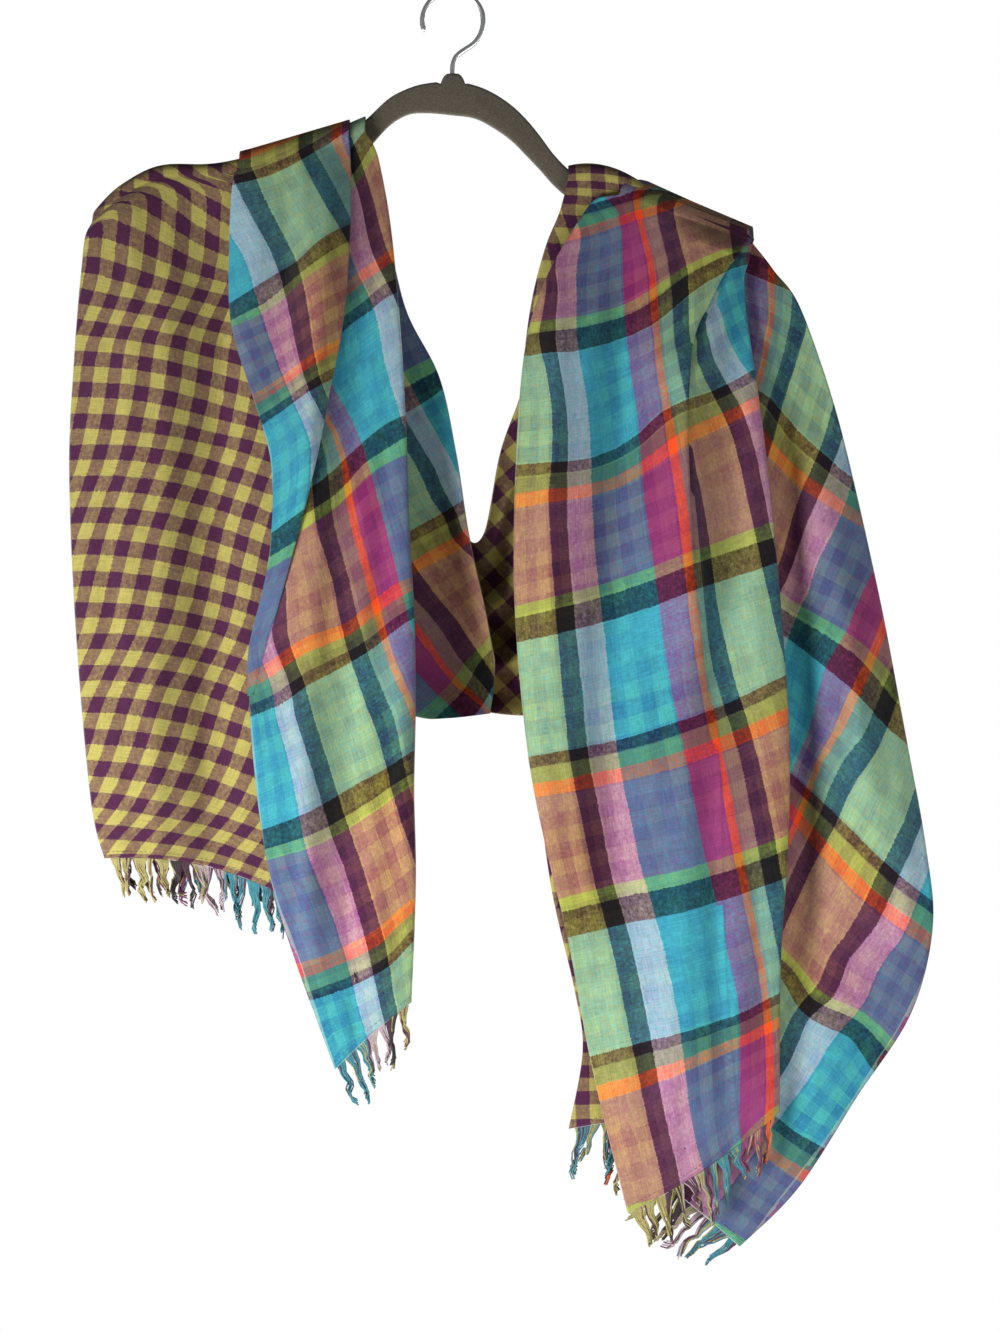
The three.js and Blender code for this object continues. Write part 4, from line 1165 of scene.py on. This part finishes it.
def neck_swag():
    points = drape_points(swag_left_rows, swag_left_gathers, 74, 130)
    x, z = points[..., 0], points[..., 2]
    cloth = np.stack([smooth_through(swag_left_across)(x, z),
                      smooth_through(swag_left_along)(x, z)], axis=-1)
    piece = cloth_piece("neck_swag", [(points, from_left_end(cloth))], plaid, gingham)
    return piece, flat_size([cloth])


def back_of_scarf():
    """The middle of the cloth, hung on the bias behind both arms."""
    middle_x, middle_z, middle_across, middle_along = 30, -330, 300, 1100
    bias_run, bias_rise = 0.74, 0.67
    points = drape_points(back_drape_rows, back_drape_gathers, 110, 190)
    x, z = points[..., 0] - middle_x, points[..., 2] - middle_z
    cloth = np.stack([middle_across + bias_run * x + bias_rise * z,
                      middle_along - bias_rise * x + bias_run * z], axis=-1)
    piece = cloth_piece("back_of_scarf", [(points, cloth)], gingham, plaid)
    return piece, flat_size([cloth])


# ---------- the hanger ----------
hanger_sections = table("x top height", [
    (-224, -142, 6), (-217, -138, 12), (-189, -129, 15), (-141, -116, 16), (-100, -104.5, 17),
    (-80, -98, 18), (-68, -91.5, 19), (-56, -81.5, 20), (-42, -68.5, 18), (-30, -62, 17),
    (-18, -58.5, 19), (0, -57, 22), (14, -59.5, 21.5), (26, -64.5, 22.5), (38, -72.5, 23),
    (48, -82, 23.5), (57, -93, 22), (66, -105, 20), (78, -116.5, 18), (95, -125, 17),
    (124, -138, 16), (161, -155, 15), (190, -168, 12), (197, -172, 6)])


def flocked_hanger():
    """The flat shouldered body with its knob, its edges rounded all the way along."""
    fine = section_at(hanger_sections, np.linspace(0, 23, 160))
    top = list(zip(fine["x"], fine["top"]))
    low = list(zip(fine["x"], fine["top"] - fine["height"]))[::-1]
    knob = [(-8, -58.5), (-7.2, -56.2), (-6.3, -54.4), (-5, -52.9), (-3.5, KNOB_TOP),
            (3.5, KNOB_TOP), (5, -52.9), (6.3, -54.4), (7.2, -56.2), (8, -58.5)]
    outline = [spot for spot in top if spot[0] < -9] + knob
    outline += [spot for spot in top if spot[0] > 9] + low
    shape = bmesh.new()
    corners = [shape.verts.new((x * MM, -HANGER_THICKNESS / 2 * MM, z * MM)) for x, z in outline]
    face = shape.faces.new(corners)
    swept = bmesh.ops.extrude_face_region(shape, geom=[face])
    moved = [part for part in swept["geom"] if isinstance(part, bmesh.types.BMVert)]
    bmesh.ops.translate(shape, verts=moved, vec=(0, HANGER_THICKNESS * MM, 0))
    bmesh.ops.recalc_face_normals(shape, faces=shape.faces)
    rims = [edge for edge in shape.edges
            if abs(edge.verts[0].co.y - edge.verts[1].co.y) < 1e-6]
    bmesh.ops.bevel(shape, geom=rims, offset=HANGER_ROUNDING * MM, segments=4, profile=0.5,
                    affect="EDGES")
    mesh = bpy.data.meshes.new("hanger_flocked")
    shape.to_mesh(mesh)
    shape.free()
    mesh.materials.append(flocked_body())
    return new_piece("hanger_flocked", mesh)


def bent_hook():
    """One wire: up out of the knob, round the rail's place, and a rounded tip."""
    radius = HOOK_INNER_RADIUS + WIRE_RADIUS
    route = [(0, KNOB_TOP - 4), (0, KNOB_TOP + 5), (3, KNOB_TOP + 12)]
    for degrees in np.arange(-50, 200.1, 12.5):
        angle = math.radians(degrees)
        route.append((radius * math.cos(angle), -HOOK_INNER_RADIUS + radius * math.sin(angle)))
    fine = section_at(table("x z", route), np.linspace(0, len(route) - 1, 140))
    middle = np.stack([fine["x"], 0 * fine["x"], fine["z"]], axis=-1)
    ways = np.gradient(middle, axis=0)
    ways /= np.linalg.norm(ways, axis=1, keepdims=True)
    sizes = np.full(len(middle), WIRE_RADIUS)
    for back, share in ((1, 0.35), (2, 0.75), (3, 0.94)):
        sizes[-back] = WIRE_RADIUS * share
    sides = 20
    turn = np.linspace(0, 2 * np.pi, sides, endpoint=False)
    across = np.cross(ways, (0, 1, 0))
    ring = (np.cos(turn)[None, :, None] * across[:, None]
            + np.sin(turn)[None, :, None] * np.array([0, 1, 0]))
    points = middle[:, None] + ring * sizes[:, None, None]
    number = np.arange(points.shape[0] * sides).reshape(-1, sides)
    beside = np.roll(number, -1, axis=1)
    faces = np.stack([number[:-1], beside[:-1], beside[1:], number[1:]], -1).reshape(-1, 4)
    ends = [number[0].tolist(), number[-1].tolist()]
    mesh = bpy.data.meshes.new("hook_bent_wire")
    mesh.from_pydata((points.reshape(-1, 3) * MM).tolist(), [], faces.tolist() + ends)
    shape = bmesh.new()
    shape.from_mesh(mesh)
    bmesh.ops.recalc_face_normals(shape, faces=shape.faces)
    shape.to_mesh(mesh)
    shape.free()
    mesh.materials.append(bright_wire())
    return new_piece("hook_bent_wire", mesh)


hanger = flocked_hanger()
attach(hanger, "root")
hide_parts("hanger_body")
hook = bent_hook()
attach(hook, "root")
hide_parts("hook")

left_wrap, left_wrap_size, left_hems = left_end_wrap()
right_wrap, right_wrap_size, right_hems = right_end_wrap()
right_fall, right_fall_size, right_back_hems = right_back_fall()
swag, swag_size = neck_swag()
back, back_size = back_of_scarf()

# stretch, hem, first share, last share, seed, share of the gingham face's yarns, how far
# a lock may lean outwards
fringe_rows = [
    ("left_plaid", left_hems["plaid"], 0.03, 0.97, 3, 0.3, 3.0),
    ("left_gingham", left_hems["gingham"], 0.02, 0.97, 2, 0.25, 1.5),
    ("left_inner", left_hems["inner"], 0.03, 0.97, 1, 0.4, -0.2),
    ("right_front", right_hems["front"], 0.02, 0.97, 5, 0.3, 3.0),
    ("right_inner", right_hems["inner"], 0.03, 0.97, 4, 0.5, -0.2),
    ("right_back", right_back_hems["back"], 0.02, 0.98, 6, 0.4, 1.0),
]
fringes = {}
for stretch, (layer, row, shares), first, last, seed, gingham_share, outward in fringe_rows:
    node = "fringe_" + stretch
    name = node + "_threads"
    fringes[node] = fringe(name, layer, row, shares, first, last, seed, gingham_share,
                           outward)
    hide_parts(node)
    seam = stitch_line(name.replace("fringe", "hem").replace("threads", "stitches"),
                       layer, first, last)
    fringes[node + "_seam"] = seam


def with_fringes(*nodes):
    return [fringes[node + ending] for node in nodes for ending in ("", "_seam")]


# piece, nodes, size of the cut, fringes that go with it
cloths = [
    (left_wrap, ["left_plaid_flap", "left_plaid_panel", "left_gingham_panel",
                 "left_inner_panel"], left_wrap_size,
     with_fringes("fringe_left_plaid", "fringe_left_gingham", "fringe_left_inner")),
    (right_wrap, ["right_front_panel", "right_inner_panel"], right_wrap_size,
     with_fringes("fringe_right_front", "fringe_right_inner")),
    (right_fall, ["right_back_panel"], right_fall_size, with_fringes("fringe_right_back")),
    (swag, ["swag_left"], swag_size, []),
    (back, ["back_drape"], back_size, []),
]
for piece, nodes, (width, length, area), beside in cloths:
    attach(piece, "root")
    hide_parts(*nodes)


# ---------- the room ----------
def round_floor(height, radius):
    shape = bmesh.new()
    bmesh.ops.create_circle(shape, cap_ends=True, segments=96, radius=radius)
    bmesh.ops.translate(shape, verts=shape.verts, vec=(0, 0, height))
    mesh = bpy.data.meshes.new("floor")
    shape.to_mesh(mesh)
    shape.free()
    mesh.materials.append(pale_floor())
    return new_piece("floor", mesh)


def soft_light(name, place, aim, size, power, colour=(1, 1, 1)):
    lamp = bpy.data.lights.new(name, "AREA")
    lamp.shape, lamp.size, lamp.energy, lamp.color = "DISK", size, power, colour
    light = bpy.data.objects.new(name, lamp)
    light.location = place
    light.rotation_euler = (Vector(aim) - Vector(place)).to_track_quat("-Z", "Y").to_euler()
    bpy.context.scene.collection.objects.link(light)


round_floor(-1.7, 3)
middle = (0.03, 0, -0.42)
soft_light("window_right", (0.8, -0.72, -0.9), middle, 0.6, 5)
soft_light("window_left", (-0.75, -0.72, -0.98), middle, 0.6, 19)
soft_light("behind_right", (0.9, 1.3, -0.1), middle, 0.8, 16)
soft_light("behind_left", (-1.0, 1.2, -0.5), middle, 0.8, 16)
soft_light("side", (1.7, 0.3, -0.3), middle, 0.7, 3)
world = bpy.data.worlds.new("studio")
world.use_nodes = True
backdrop = world.node_tree.nodes["Background"]
backdrop.inputs["Color"].default_value = (1, 1, 1, 1)
seen = world.node_tree.nodes.new("ShaderNodeLightPath")
strength = world.node_tree.nodes.new("ShaderNodeMapRange")
strength.inputs["To Min"].default_value = 0.13
world.node_tree.links.new(seen.outputs["Is Camera Ray"], strength.inputs["Value"])
world.node_tree.links.new(strength.outputs[0], backdrop.inputs["Strength"])
bpy.context.scene.world = world
bpy.context.scene.view_settings.view_transform = "Standard"

camera_away = 2.2
view_height = 0.866
camera = bpy.data.objects.new("camera", bpy.data.cameras.new("camera"))
camera.location = (0.0306, -camera_away, -0.437)
camera.rotation_euler = (math.pi / 2, 0, 0)
camera.data.sensor_fit = "VERTICAL"
camera.data.sensor_width = camera.data.sensor_height = 36
camera.data.lens = camera.data.sensor_height * camera_away / view_height
bpy.context.scene.collection.objects.link(camera)
bpy.context.scene.camera = camera

bpy.context.view_layer.update()
